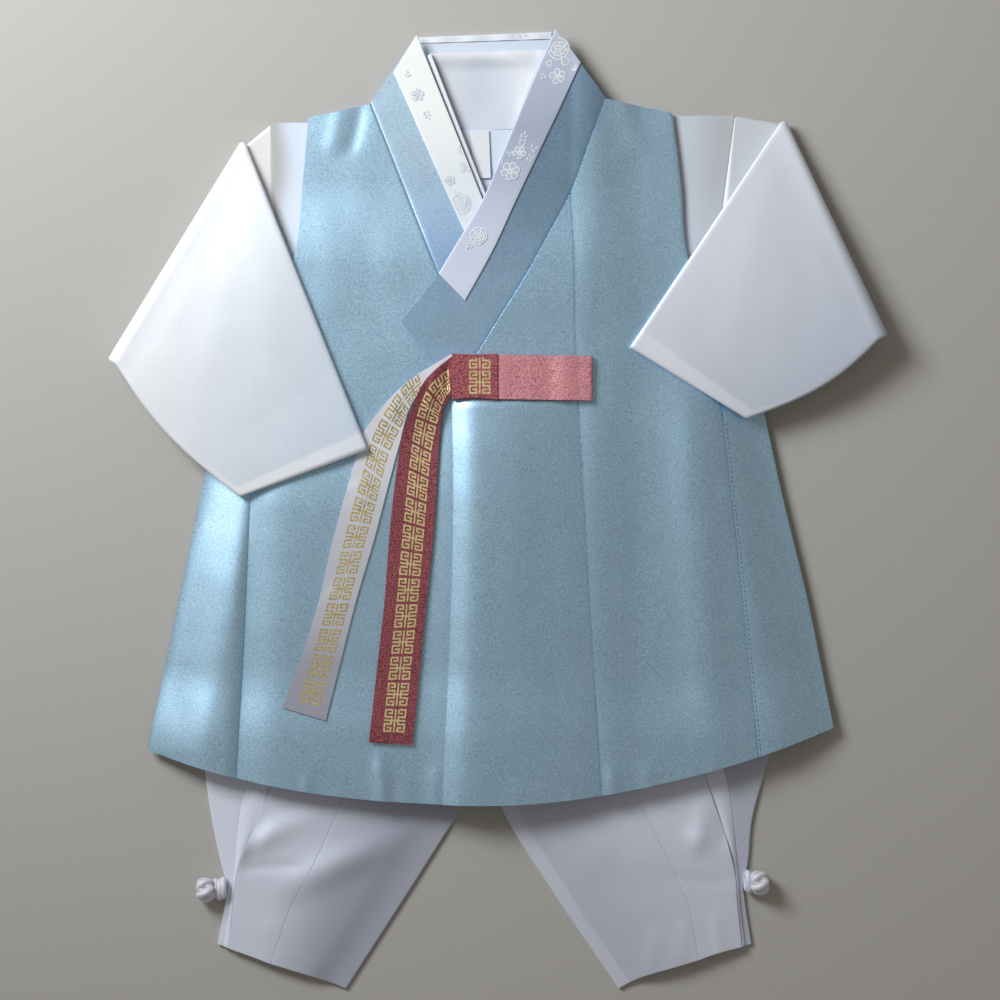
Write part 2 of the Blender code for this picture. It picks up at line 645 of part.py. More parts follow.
def build_vest_collar(blue, strip_white):
    band("vest_collar_left", (COLLAR_INNER_LEFT, COLLAR_OUTER_LEFT), at_level(VEST_UNDER),
         4, 10, blue, gap=SEAM)
    band("vest_collar_right", (COLLAR_INNER_RIGHT, COLLAR_OUTER_RIGHT), vest_over_height,
         4, 14, blue, gap=SEAM)
    on_left = at_level(VEST_UNDER + WALL + SEAM)
    band("vest_strip_left", (COLLAR_INNER_LEFT, STRIP_OUTER_LEFT), on_left, 2, 10, strip_white,
         wall=THIN_WALL)
    band("vest_strip_right", (COLLAR_INNER_RIGHT[:STRIP_POINTS], STRIP_OUTER_RIGHT),
         lambda x, y: vest_over_height(x, y) + WALL + SEAM, 2, 12, strip_white, wall=THIN_WALL)
    panel("vest_collar_back", COLLAR_END_LEFT, COLLAR_END_RIGHT, ends(*COLLAR_BACK_TOP),
          ends(*COLLAR_BACK_SEAM), back_height, 6, 4, blue)
    panel("vest_strip_back", STRIP_END_LEFT, STRIP_END_RIGHT, ends(*STRIP_BACK_TOP),
          ends(*STRIP_BACK_EDGE), back_height, 4, 1, strip_white)


# ---- Tie ----

KNOT_LEFT, KNOT_RIGHT = -29.0, 0.0
KNOT_TOP, KNOT_BOTTOM = 101.0, 71.5
KNOT_THICK = 6.5
KNOT_ROUND = 1.8  # radius of the knot's rounded edges
LOOP_END = 62.0
TIE_WIDTH = 28.6
LOOP_BOTTOM = 71.7
LOOP_STEPS = 6  # facets round the loop's fold
TIE_LOOP_RADIUS = 1.7  # half the height between the loop's two layers
PINK_EDGES = (
    [(-30.4, 98.5), (-46.5, 84.0), (-57.0, 62.0), (-63.0, 41.0), (-69.0, -7.0), (-73.0, -58.5),
     (-78.0, -104.0), (-83.0, -150.0)],
    [(-30.2, 74.0), (-34.2, 68.0), (-36.9, 54.0), (-38.8, 28.0), (-41.5, -14.5), (-46.0, -58.5),
     (-50.5, -104.0), (-55.0, -151.5)],
)
SILVER_EDGES = (
    [(-31.0, 100.5), (-60.0, 81.5), (-85.0, 53.0), (-93.0, 29.0), (-106.5, -19.5), (-115.5, -58.5),
     (-127.0, -95.0), (-139.0, -127.5)],
    [(-31.0, 99.0), (-54.5, 70.5), (-64.0, 41.0), (-71.5, 13.0), (-80.0, -19.5), (-91.5, -58.5),
     (-101.5, -98.0), (-111.0, -136.0)],
)
SILVER_LIFT = 0.6  # clearance of the silver tail over the vest's collar end and front
SILVER_RISE = 5.0  # how far each tail climbs from the vest to the knot
PINK_RISE = 5.2
RISE_SPAN = (40, 95)  # y where the climb starts and ends


def knot_base():
    """Height of the knot's underside, over the highest point of the front that it lies on."""
    places = [(x, y) for x in (KNOT_LEFT, KNOT_RIGHT, LOOP_END) for y in (KNOT_BOTTOM, KNOT_TOP)]
    return max(vest_over_height(x, y) for x, y in places) + WALL + REST


def loop_line(middle):
    """The loop seen from its edge: out from the knot, round its fold and back.

    Each row is a point (x, z) of the strip's middle and the unit vector towards the loop's inside.
    """
    radius = TIE_LOOP_RADIUS
    start, turn = KNOT_RIGHT + SEAM, LOOP_END - radius - WALL / 2
    straight = start + (turn - start) / 2
    rows = [((start, middle - radius), (0, 1)), ((straight, middle - radius), (0, 1))]
    for i in range(LOOP_STEPS + 1):
        angle = math.pi * i / LOOP_STEPS
        inward = (-math.sin(angle), math.cos(angle))
        rows.append(((turn - radius * inward[0], middle - radius * inward[1]), inward))
    return rows + [((straight, middle + radius), (0, -1)), ((start, middle + radius), (0, -1))]


def build_tie(pink, silver):
    base = knot_base()
    rounded_box("tie_knot", (KNOT_LEFT, KNOT_BOTTOM, base), (KNOT_RIGHT, KNOT_TOP, base + KNOT_THICK),
                KNOT_ROUND, pink)
    low, high = LOOP_BOTTOM, LOOP_BOTTOM + TIE_WIDTH
    rings = []
    for (x, z), (nx, nz) in loop_line(base + WALL / 2 + SEAM + TIE_LOOP_RADIUS):
        half = WALL / 2
        inner, outer = (x + nx * half, z + nz * half), (x - nx * half, z - nz * half)
        rings.append([(inner[0], low, inner[1]), (inner[0], high, inner[1]),
                      (outer[0], high, outer[1]), (outer[0], low, outer[1])])
    loft("tie_loop", rings, pink)

    def silver_height(x, y):
        under = vest_under_height(x, y) + WALL + SILVER_LIFT
        return under + SILVER_RISE * ramp(y, *RISE_SPAN)

    def pink_height(x, y):
        under = vest_under_height(x, y) + WALL + SILVER_LIFT + WALL + REST
        return under + PINK_RISE * ramp(y, *RISE_SPAN)

    band("tie_tail_silver", SILVER_EDGES, silver_height, 3, 18, silver)
    band("tie_tail_pink", PINK_EDGES, pink_height, 3, 18, pink)


# ---- The set ----


def main():
    for thing in list(bpy.data.objects):
        bpy.data.objects.remove(thing)
    blue = cloth("pale_blue_satin", "9DBEC8", 0.55)
    white = cloth("white_silk", "E4E6EC", 0.6)
    sheer = cloth("sheer_white_silk", "D0D2DA", 0.6)
    brocade = cloth("white_brocade", "E8E8F0", 0.4)
    pink = cloth("rose_ribbon", "C06469", 0.5)
    silver = cloth("silver_ribbon", "B9B6C4", 0.45)
    label_white = cloth("label_ribbon", "D8DAE0", 0.6)
    build_trousers(white)
    build_jacket(white, sheer)
    build_label(label_white)
    for sleeve in SLEEVES:
        build_sleeve(sleeve, white)
    build_vest_back(blue)
    build_vest_fronts(blue)
    build_vest_collar(blue, brocade)
    build_tie(pink, silver)


main()
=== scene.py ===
# %% [markdown]
# # A baby boy's hanbok set, laid flat
#
# The set is four garments lying on each other: white trousers, a white jacket, a pale blue vest
# and a tie of two ribbons. Nothing in it is padded, so every piece is a thin sheet of cloth. This
# lesson makes each sheet as a fine grid, lays it where the solid of the same name lies, and then
# gives it soft creases, rounded edges and a finish of its own.

import math
from collections import namedtuple

import bmesh
import bpy
import numpy as np
from mathutils import Matrix, Vector


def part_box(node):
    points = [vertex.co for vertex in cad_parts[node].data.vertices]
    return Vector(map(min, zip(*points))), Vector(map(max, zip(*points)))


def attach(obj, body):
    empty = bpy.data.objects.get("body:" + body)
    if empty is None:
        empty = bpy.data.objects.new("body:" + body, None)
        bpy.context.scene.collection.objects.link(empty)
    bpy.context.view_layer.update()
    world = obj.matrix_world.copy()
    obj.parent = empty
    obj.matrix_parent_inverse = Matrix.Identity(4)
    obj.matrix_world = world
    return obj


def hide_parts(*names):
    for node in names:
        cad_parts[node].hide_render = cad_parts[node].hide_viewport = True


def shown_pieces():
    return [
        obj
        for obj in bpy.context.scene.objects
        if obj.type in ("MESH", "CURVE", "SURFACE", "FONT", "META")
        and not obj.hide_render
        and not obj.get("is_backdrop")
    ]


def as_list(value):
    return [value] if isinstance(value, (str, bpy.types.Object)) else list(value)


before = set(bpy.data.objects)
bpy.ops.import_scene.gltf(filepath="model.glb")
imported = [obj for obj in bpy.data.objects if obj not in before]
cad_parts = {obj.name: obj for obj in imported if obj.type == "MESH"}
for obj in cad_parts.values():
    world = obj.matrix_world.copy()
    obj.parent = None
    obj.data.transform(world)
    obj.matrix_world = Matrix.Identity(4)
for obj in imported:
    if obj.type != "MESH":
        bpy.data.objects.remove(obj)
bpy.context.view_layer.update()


# %% [markdown]
# ## Sizes
#
# The script works in millimetres, and each piece is scaled to Blender's metres when it is
# finished. x runs across the set, y up to the collar and z up from the surface below. The layers
# are the same as in the solids: back, jacket, under front and over front, then collar and tie.

# %% Sizes and layers
MM = 0.001
WALL = 1.0  # cloth and lining together
RIBBON_WALL = 0.8
GAP = 0.05  # half of the gap at a seam
RIM = 0.4  # how wide the rim along a turned edge is
PRESSED_RIM = 1.0  # the same on the vest, whose seams are pressed to the right
SEAM_DIP = 0.36  # how far the vest's cloth is pressed down there, at the seam on its right
RIM_SHARE = 1.0  # thickness at the very edge, as a share of the wall
RIM_LINES = (0.0, 0.25, 0.6, 1.0)  # where a grid's lines lie across a rim, as shares of it
STEP = 2.0  # spacing of a sheet's grid where it shows
COARSE = 5.0  # and where it is hidden

VEST_BACK = 0.0
JACKET_BACK = 1.8
JACKET_UNDER = 4.7
JACKET_OVER = 6.5
VEST_UNDER = 8.3
VEST_OVER = 10.2
OVER_COLLAR_LIFT = 1.4  # how much higher the over front lies where it crosses the white strip
TROUSER_BED = 3.5  # height of the bed on the trousers
PLEAT_BED = 2.6  # what the pleats add to it at the hem
SIDE_SLOPE = 40.0  # width over which a front comes down to the back at a side seam
LEG_PUFF = 2.6  # how far a leg stands up below the vest
CLOTH = 1.1  # the solids' own wall, by which their layers are spaced
REST = 0.4  # gap under a piece that lies on another

# %% [markdown]
# ## Lines and shapes
#
# A seam is a smooth curve down the set, so it is a function that gives x for each y. A panel lies
# between two such lines. All of these functions take whole arrays, because NumPy then places
# twenty thousand points as quickly as one.

# %% Curves


def ramp(value, start, end):
    """Goes smoothly from 0 at start to 1 at end."""
    t = np.clip((value - start) / (end - start), 0.0, 1.0)
    return t * t * (3 - 2 * t)


def line(*points):
    """A seam or edge down the set: a smooth curve through its (y, x) points."""
    ys, xs = np.array(sorted(points), float).T
    slopes = np.gradient(xs, ys)

    def x_at(y):
        i = np.clip(np.searchsorted(ys, y) - 1, 0, len(ys) - 2)
        width = ys[i + 1] - ys[i]
        t = np.clip((y - ys[i]) / width, 0.0, 1.0)
        start = (1 + 2 * t) * (1 - t) ** 2 * xs[i] + t * (1 - t) ** 2 * width * slopes[i]
        end = t * t * (3 - 2 * t) * xs[i + 1] + t * t * (t - 1) * width * slopes[i + 1]
        return start + end

    return x_at


def joined(upper, lower, y_join):
    """One line from two that meet at y_join, with a corner there."""
    return lambda y: np.where(y > y_join, upper(y), lower(y))


def ends(first, last):
    """A straight top or bottom edge: y for each u across the panel."""
    return lambda u: first + (last - first) * u


def along(points, t):
    """Points of a smooth open curve through the given points, t from 0 to 1."""
    known = np.array(points, float)
    position = np.clip(t, 0, 1) * (len(known) - 1)
    i = np.minimum(position.astype(int), len(known) - 2)
    t = (position - i)[..., None]
    p = [known[np.clip(i + k, 0, len(known) - 1)] for k in (-1, 0, 1, 2)]
    return 0.5 * (
        2 * p[1]
        + (p[2] - p[0]) * t
        + (2 * p[0] - 5 * p[1] + 4 * p[2] - p[3]) * t**2
        + (3 * p[1] - p[0] - 3 * p[2] + p[3]) * t**3
    )


# %% [markdown]
# ## Creases
#
# Cloth that is laid out keeps soft troughs and ridges where it was folded, pulled by a seam or
# gathered by a knot. Each one is a row of a table: where it starts and ends, how far it bows, how
# wide it is and how high. They are placed one by one, and no two are alike.

# %% Crease tables
Crease = namedtuple("Crease", "x0 y0 x1 y1 bow width height")


def creases(*rows):
    return [Crease(*row) for row in rows]


VEST_CREASES = creases(
    # Shoulders: the gathers beside the collar.
    (-88, 272, -99, 226, 2, 5.0, -0.5),
    (-101, 268, -110, 226, 1, 6.0, 0.4),
    (79, 276, 98, 226, -2, 7.0, 0.6),
    (66, 264, 76, 224, 2, 6.0, -0.3),
    # Chest, left and right of the collar.
    (-106, 236, -74, 128, 5, 12.0, 0.1),
    (-88, 195, -74, 100, 0, 9.0, -0.2),
    (-118, 205, -104, 110, 2, 10.0, 0.2),
    (94, 240, 86, 70, -3, 13.0, 0.5),
    (66, 200, 64, 50, 0, 8.0, -0.3),
    # Skirt: broad swells between the seams.
    (9, 100, 8, -70, 2, 13.0, 0.4),
    (34, 10, 40, -150, -2, 10.0, -0.3),
    (-150, 10, -159, -180, -2, 9.0, -0.3),
    (-112, 0, -124, -150, 3, 17.0, -0.4),
    (-86, 70, -94, -70, 2, 10.0, 0.3),
    (122, 120, 144, -200, -1, 17.0, 2.8),
    (85, 40, 94, -180, 2, 12.0, -0.3),
    (168, 10, 180, -150, 2, 8.0, -0.3),
    (-184, 20, -202, -150, -2, 12.0, 0.5),
    # Hem: short puckers where the turned edge is caught.
    (-150, -172, -149, -206, 0, 3.0, 0.5),
    (-124, -166, -122, -210, 0, 3.0, 0.8),
    (-77, -150, -75, -218, 1, 4.6, 1.5),
    (-67, -166, -66, -218, 0, 3.0, -0.6),
    (-41, -160, -40, -218, 0, 4.0, 0.7),
    (12, -172, 13, -218, 0, 5.0, 0.4),
    (48, -176, 49, -218, 0, 4.0, 0.5),
    (74, -160, 76, -214, 0, 4.2, 0.9),
    (96, -158, 99, -208, 0, 5.2, 0.8),
    (140, -150, 143, -196, 0, 4.0, 0.4),
)
LEG_CREASES = creases(
    # Left leg: pulled towards its knot.
    (-188, -234, -98, -186, 3, 8.0, 4.4),
    (-152, -252, -40, -192, -3, 11.0, 4.0),
    (-176, -236, -118, -232, 2, 4.0, -0.6),
    (-137, -140, -166, -236, 2, 5.0, -2.4),
    (-60, -240, -24, -196, -2, 9.0, 0.5),
    (-150, -262, -136, -300, 0, 8.0, 0.5),
    (-120, -262, -100, -310, 0, 7.0, -0.4),
    # Right leg.
    (136, -164, 128, -230, 1, 6.5, 2.1),
    (146, -176, 146, -226, 1, 3.5, -0.8),
    (166, -236, 112, -208, -3, 7.0, 0.9),
    (164, -240, 98, -236, 3, 5.0, -0.5),
    (96, -262, 70, -216, 2, 9.0, -0.4),
    (60, -260, 30, -206, 2, 9.0, 0.4),
    (140, -258, 146, -296, 0, 4.0, 0.5),
    (122, -262, 118, -300, 0, 5.0, 0.4),
    (104, -268, 98, -306, 0, 5.0, 0.4),
)
SLEEVE_CREASES = creases(
    # Left sleeve: faint folds that fan out from its shoulder corner.
    (-172, 236, -140, 60, 5, 12.0, 0.5),
    (-166, 236, -205, 70, -3, 10.0, -0.35),
    (-200, 150, -130, 20, 4, 14.0, -0.35),
    # Right sleeve.
    (186, 246, 150, 80, -4, 12.0, 0.5),
    (192, 240, 196, 90, 3, 11.0, -0.4),
    (200, 200, 232, 110, 0, 9.0, 0.3),
    (110, 130, 190, 88, 3, 10.0, -0.3),
)


def relief(x, y, rows):
    """The height of a table's creases at each point, each faded out at both of its ends."""
    total = np.zeros(np.broadcast(x, y).shape)
    for row in rows:
        dx, dy = row.x1 - row.x0, row.y1 - row.y0
        length = math.hypot(dx, dy)
        t = ((x - row.x0) * dx + (y - row.y0) * dy) / length**2
        bow = row.bow * 4 * t * (1 - t)
        off = ((y - row.y0) * dx - (x - row.x0) * dy) / length - bow
        fade = ramp(np.minimum(t, 1 - t), 0, 0.3)
        total = total + row.height * np.exp(-((off / row.width) ** 2)) * fade
    return total


# Slow waves in no common rhythm: their rates along x and y, in radians for each mm.
WAVES = ((0.11, 0.07), (-0.06, 0.13), (0.19, -0.05), (0.04, 0.23), (-0.21, -0.12))


def rumple(x, y, height):
    """An unevenness of about that height, so that no stretch of cloth is quite flat."""
    waves = [np.sin(a * x + b * y + 2.1 * i) for i, (a, b) in enumerate(WAVES)]
    return height * sum(waves) / len(WAVES)


print("creases:", len(VEST_CREASES) + len(LEG_CREASES) + len(SLEEVE_CREASES))

# %% [markdown]
# ## Finishes
#
# Every material is built from nodes. One function adds a node with its settings and its links, and
# one turns a hex colour to Blender's linear light. Patterns are sized from the real thread: the
# scale of a noise node is about one over the size of a grain in metres.

# %% Node and colour helpers


def linear(hexadecimal):
    """A colour written as six hex digits, in linear light."""
    parts = [int(hexadecimal[i : i + 2], 16) / 255 for i in (0, 2, 4)]
    return (*[p / 12.92 if p <= 0.04045 else ((p + 0.055) / 1.055) ** 2.4 for p in parts], 1.0)


def add(tree, kind, settings=None, inputs=None):
    """Adds a node, sets its properties, and sets or links its inputs. A link is (node, output)."""
    made = tree.nodes.new(kind)
    for name, value in (settings or {}).items():
        setattr(made, name, value)
    for name, value in (inputs or {}).items():
        if isinstance(value, tuple) and isinstance(value[0], bpy.types.Node):
            tree.links.new(value[0].outputs[value[1]], made.inputs[name])
        else:
            made.inputs[name].default_value = value
    return made


def new_cloth(name, shader):
    """A material whose shader has these constants. Returns it, its tree and the shader."""
    material = bpy.data.materials.new(name)
    material.use_nodes = True
    tree = material.node_tree
    principled = tree.nodes["Principled BSDF"]
    for socket, value in shader.items():
        principled.inputs[socket].default_value = value
    return material, tree, principled


def grain(tree, turn, stretch, scale, detail=2.0):
    """Noise on the object's own coordinates, turned to the thread and stretched along it."""
    place = add(tree, "ShaderNodeTexCoord")
    values = {"Vector": (place, "Object"), "Rotation": (0, 0, turn), "Scale": (*stretch, 1.0)}
    turned = add(tree, "ShaderNodeMapping", inputs=values)
    values = {"Vector": (turned, "Vector"), "Scale": scale, "Detail": detail, "Roughness": 0.6}
    return add(tree, "ShaderNodeTexNoise", inputs=values)


def rough_up(tree, shader, source, height):
    """Bump from a source, a (node, output), its height in millimetres."""
    values = {"Height": source, "Distance": height * MM, "Strength": 1.0}
    bump = add(tree, "ShaderNodeBump", inputs=values)
    tree.links.new(bump.outputs["Normal"], shader.inputs["Normal"])


def blend(tree, factor, first, second):
    """Two colours mixed by a factor, a (node, output)."""
    values = {"Factor": factor, "A": first, "B": second}
    return add(tree, "ShaderNodeMix", {"data_type": "RGBA"}, values)


def scaled(tree, colour, factor):
    """A colour made darker or lighter by a factor. Each is a (node, output)."""
    values = {"Vector": colour, "Scale": factor}
    return add(tree, "ShaderNodeVectorMath", {"operation": "SCALE"}, values)


def layered(tree, thin, thick):
    """A colour that runs from thin to thick with the number "layers" on each point."""
    layers = add(tree, "ShaderNodeAttribute", {"attribute_name": "layers"})
    return blend(tree, (layers, "Fac"), linear(thin), linear(thick))


def beside_layered(tree, colour, bare):
    """The same colour, but bare where "layers" is below zero."""
    layers = add(tree, "ShaderNodeAttribute", {"attribute_name": "layers"})
    values = {"Value": (layers, "Fac"), "From Min": 0.0, "From Max": -0.5}
    below = add(tree, "ShaderNodeMapRange", inputs=values)
    return blend(tree, (below, "Result"), (colour, "Result"), linear(bare))


# %% [markdown]
# ### Crepe-back satin
#
# The vest is crepe satin: hard-twisted threads pull the weave into grains of about a millimetre,
# and their round backs catch the light one by one. So both colour and bump come from one noise of
# that size, over a slower one that clouds the colour a little. The left collar band is a lit copy
# of
# the satin and the right one a shaded copy, and each grows lighter and darker along its length:
# painted light and shade.

# %% Crepe satin
GRAIN_CREPE = 1 / (1.1 * MM)
GRAIN_CLOUD = 1 / (16 * MM)


def crepe_satin(name, thin, thick, turn=0.0, size=GRAIN_CREPE, bump=0.035, metallic=0.8,
                speckle=0.28):
    """Crepe satin whose colour runs from thin to thick with the cloth that shows, and on the
    collars with painted light and shade.
    """
    finish = {
        "Metallic": metallic,
        "Roughness": 0.38,
        "Specular IOR Level": 0.5,
        "Sheen Weight": 0.1,
        "Sheen Roughness": 0.4,
        "Sheen Tint": (0.85, 0.93, 1.0, 1.0),
    }
    material, tree, shader = new_cloth(name, finish)
    fine = grain(tree, turn, (1.0, 1.5), size, detail=3.0)
    cloud = grain(tree, turn, (1.0, 0.5), GRAIN_CLOUD)
    values = {"Value": (fine, "Fac"), "From Min": 0.3, "From Max": 0.7}
    values |= {"To Min": 1 - speckle, "To Max": 1 + speckle}
    specks = add(tree, "ShaderNodeMapRange", inputs=values)
    values = {"Value": (cloud, "Fac"), "To Min": 0.94, "To Max": 1.06}
    slow = add(tree, "ShaderNodeMapRange", inputs=values)
    values = {0: (specks, "Result"), 1: (slow, "Result")}
    both = add(tree, "ShaderNodeMath", {"operation": "MULTIPLY"}, values)
    grained = scaled(tree, (layered(tree, thin, thick), "Result"), (both, 0))
    tree.links.new(grained.outputs["Vector"], shader.inputs["Base Color"])
    rough_up(tree, shader, (fine, "Fac"), bump)
    return material


BLUE_NAME = "pale blue crepe satin"
VEST_BLUE = crepe_satin(BLUE_NAME, "9FC0E0", "BBE1FF")
# Painted light and shade: the left collar band is a lighter, lit copy of the satin and the right
# one a darker, shaded copy.
COLLAR_LIT = crepe_satin(BLUE_NAME + ", collar left", "AACCF6", "C8E6FF", math.radians(22),
                           metallic=0.65, speckle=0.2)
COLLAR_SHADED = crepe_satin(BLUE_NAME + ", collar right", "90B0CC", "B4D8F8", math.radians(-34),
                          speckle=0.2)
# The back of the neck is made paler, partly as painted light where the neck roll shades it.
COLLAR_PALE = crepe_satin(BLUE_NAME + ", back of the neck", "C4D6F0", "E2EEFF", metallic=0.2,
                          speckle=0.04)

# %% [markdown]
# ### White silk
#
# Sleeves, jacket and trousers are a fine silk with a faint shine. Its threads vary in thickness,
# which draws faint short lines along and across the cloth. It is thin, so one layer over the ground
# looks grey, and where the edges are turned in, two or three layers look whiter. A number on each
# point, "layers", says how much cloth lies there, and the colour follows it. On the sleeves, the
# trousers, the collars, the strips and the tie the same number also carries painted light and
# shade.
# The collar strips and the silver ribbon are satins of the same thread: smoother, so their light
# comes in broad bands. Left and right sleeve, and left and right strip, are a lit and a shaded copy
# of their cloth: painted light and shade.

# %% White silk and white satin
SLUB = 1 / (2.2 * MM)
SLUB_BUMP = 0.02


def white_silk(name, thin, thick, turn=0.0, roughness=0.5, metallic=0.15, slub=0.012, bare=None):
    """White silk or satin. Bare is its colour where none of its own layers shows through."""
    finish = {
        "Metallic": metallic,
        "Roughness": roughness,
        "Specular IOR Level": 0.4,
        "Sheen Weight": 0.1,
        "Sheen Roughness": 0.5,
    }
    material, tree, shader = new_cloth(name, finish)
    weft = grain(tree, turn, (0.22, 1.6), SLUB)
    warp = grain(tree, turn, (1.6, 0.22), SLUB)
    both = add(tree, "ShaderNodeMath", {"operation": "ADD"}, {0: (weft, "Fac"), 1: (warp, "Fac")})
    values = {"Value": (both, 0), "From Min": 0.7, "From Max": 1.3}
    values |= {"To Min": 1 - slub, "To Max": 1 + slub}
    uneven = add(tree, "ShaderNodeMapRange", inputs=values)
    colour = layered(tree, thin, thick)
    if bare:
        colour = beside_layered(tree, colour, bare)
    woven = scaled(tree, (colour, "Result"), (uneven, "Result"))
    tree.links.new(woven.outputs["Vector"], shader.inputs["Base Color"])
    rough_up(tree, shader, (both, 0), SLUB_BUMP)
    return material


# Painted light and shade: the left sleeve's silk is a lighter, lit copy and the right one a darker,
# shaded copy, and so are their bare colours.
SILK_LIT = white_silk("white silk, left sleeve", "B5CBE0", "F4F8FF", math.radians(-52), slub=0.02,
                       bare="EEEEEE")
SILK_SHADED = white_silk("white silk, right sleeve", "C0CADA", "EEF2FF", math.radians(36), slub=0.02,
                        bare="D6DCE4")
SHOULDER_SILK = white_silk("sheer white silk", "BCBFC2", "DFE9F8")
COLLAR_SILK = white_silk("white silk, jacket collar", "B8C4D8", "F4F8FF", math.radians(20))
TROUSER_SILK = white_silk("white silk, trousers", "A4A8BA", "E8EEFF", roughness=0.6)
CORD_SATIN = white_silk("white satin cord", "E4E4F0", "FAFAFF", roughness=0.55)
LABEL_TAPE = white_silk("bare woven label", "D5DAE2", "E6EAF0", roughness=0.7, metallic=0.0)
BROCADE_NAME = "white brocade satin"
# Painted light and shade: the left strip is a lighter, lit copy of the brocade satin and the right
# one a darker, shaded copy.
STRIP_LIT = white_silk(BROCADE_NAME + ", left", "D2E0F2", "FAFFFF", math.radians(24), 0.42, 0.05)
STRIP_SHADED = white_silk(BROCADE_NAME + ", right", "98A4BC", "E2EAFF", math.radians(-32), 0.42, 0.2)
STRIP_NECK = white_silk(BROCADE_NAME + ", neck", "A9B6CC", "EEF4FF", 0.0, 0.42, 0.2)
SILVER = white_silk("silver satin ribbon", "84869A", "F4F6FF", math.radians(64), 0.34, 0.2)
ROSE_GRAIN = 1 / (1.2 * MM)
ROSE = crepe_satin("rose crepe ribbon", "70343A", "B0606A", size=ROSE_GRAIN, bump=0.12,
                   metallic=0.3, speckle=0.95)
ROSE_LOOP = crepe_satin("rose crepe ribbon, loop", "C2747E", "E29AA4", size=ROSE_GRAIN, bump=0.1,
                        metallic=0.3, speckle=0.6)
BLUE_THREAD = crepe_satin("blue sewing thread", "6D8798", "7F9BAC", bump=0.02)

# %% [markdown]
# ### Flowers and gold
#
# The brocade flowers are white thread on white satin: a bright outline round a slightly greyer
# petal. The gold on the ribbons is a printed metal film, dulled a little by the cloth under it.

# %% Brocade thread and gold
MATT = {"roughness": 0.6, "metallic": 0.0}
OUTLINE_LEFT = white_silk("brocade outline, left", "CFDAE7", "CFDAE7", **MATT)
OUTLINE_RIGHT = white_silk("brocade outline, right", "F4F7FC", "F4F7FC", **MATT)
PETAL_LEFT = white_silk("brocade petal, left", "E4ECF4", "E4ECF4", roughness=0.5)
PETAL_RIGHT = white_silk("brocade petal, right", "C3CCDC", "C3CCDC", roughness=0.5)


def gold_print(name, dark, light, roughness=0.42, metallic=0.45):
    material, tree, shader = new_cloth(name, {"Metallic": metallic, "Roughness": roughness})
    flecks = grain(tree, 0.0, (1.0, 1.0), 1 / (1.0 * MM), detail=3.0)
    values = {"Value": (flecks, "Fac"), "From Min": 0.35, "From Max": 0.65}
    share = add(tree, "ShaderNodeMapRange", inputs=values)
    colour = blend(tree, (share, "Result"), linear(dark), linear(light))
    tree.links.new(colour.outputs["Result"], shader.inputs["Base Color"])
    rough_up(tree, shader, (flecks, "Fac"), 0.05)
    return material


GOLD = gold_print("gold print", "C9AC6E", "FFF0BE")
DULL_GOLD = gold_print("gold print on silver", "A3935A", "E0CE94", 0.5, 0.45)
print("materials:", len(bpy.data.materials))

# %% [markdown]
# ## Making a sheet of cloth
#
# A sheet starts as a flat grid. A place function says where each point of it lies, and the whole is
# then extruded by the cloth's thickness. Real cloth is turned in at its edges, and the light
# breaks there. That takes more grid lines along the edges, a wall that thins towards them on the
# strips and the trousers, and on the vest a wall that is pressed down at the seam on its right.

# %% Sheets


def spread(length, step, rim):
    """Shares of a length for a grid's lines: close together at both rims, a step apart between."""
    if length < 6 * rim:
        return np.linspace(0, 1, 9)
    close = np.array(RIM_LINES) * rim
    count = max(int(round((length - 2 * rim) / step)), 2)
    middle = np.linspace(rim, length - rim, count + 1)[1:-1]
    return np.concatenate([close, middle, length - close[::-1]]) / length


def lengths(points):
    """Length in millimetres of each row and each column of a grid of points."""
    across = np.linalg.norm(np.diff(points, axis=1), axis=2).sum(axis=1)
    down = np.linalg.norm(np.diff(points, axis=0), axis=2).sum(axis=0)
    return across, down


def points_of(place, us, vs):
    u, v = np.meshgrid(us, vs)
    x, y, z = np.broadcast_arrays(*place(u, v))
    return np.stack([x, y, z], axis=2)


def grid_on(points):
    """A bmesh grid whose vertices lie on an array of points, and their places in that array."""
    rows, columns = points.shape[0] - 1, points.shape[1] - 1
    bm = bmesh.new()
    bmesh.ops.create_grid(bm, x_segments=columns, y_segments=rows, size=0.5)
    spots = []
    for vert in bm.verts:
        spot = (round((0.5 - vert.co.y) * rows), round((vert.co.x + 0.5) * columns))
        spots.append(spot)
        vert.co = Vector(points[spot])
    return bm, spots


CUT_ANGLE = math.radians(52)  # a sharper bend is the cut edge of the cloth and keeps a crisp line


def finish_mesh(name, bm, material, smooth=True):
    """Turns a bmesh in millimetres into an object, its place in its mesh."""
    bmesh.ops.scale(bm, vec=(MM, MM, MM), verts=bm.verts)
    bmesh.ops.recalc_face_normals(bm, faces=bm.faces)
    for face in bm.faces:
        face.smooth = smooth
    for edge in bm.edges:
        edge.smooth = not edge.is_manifold or edge.calc_face_angle() < CUT_ANGLE
    mesh = bpy.data.meshes.new(name)
    bm.to_mesh(mesh)
    bm.free()
    mesh.materials.append(material)
    piece = bpy.data.objects.new(name, mesh)
    bpy.context.scene.collection.objects.link(piece)
    return piece


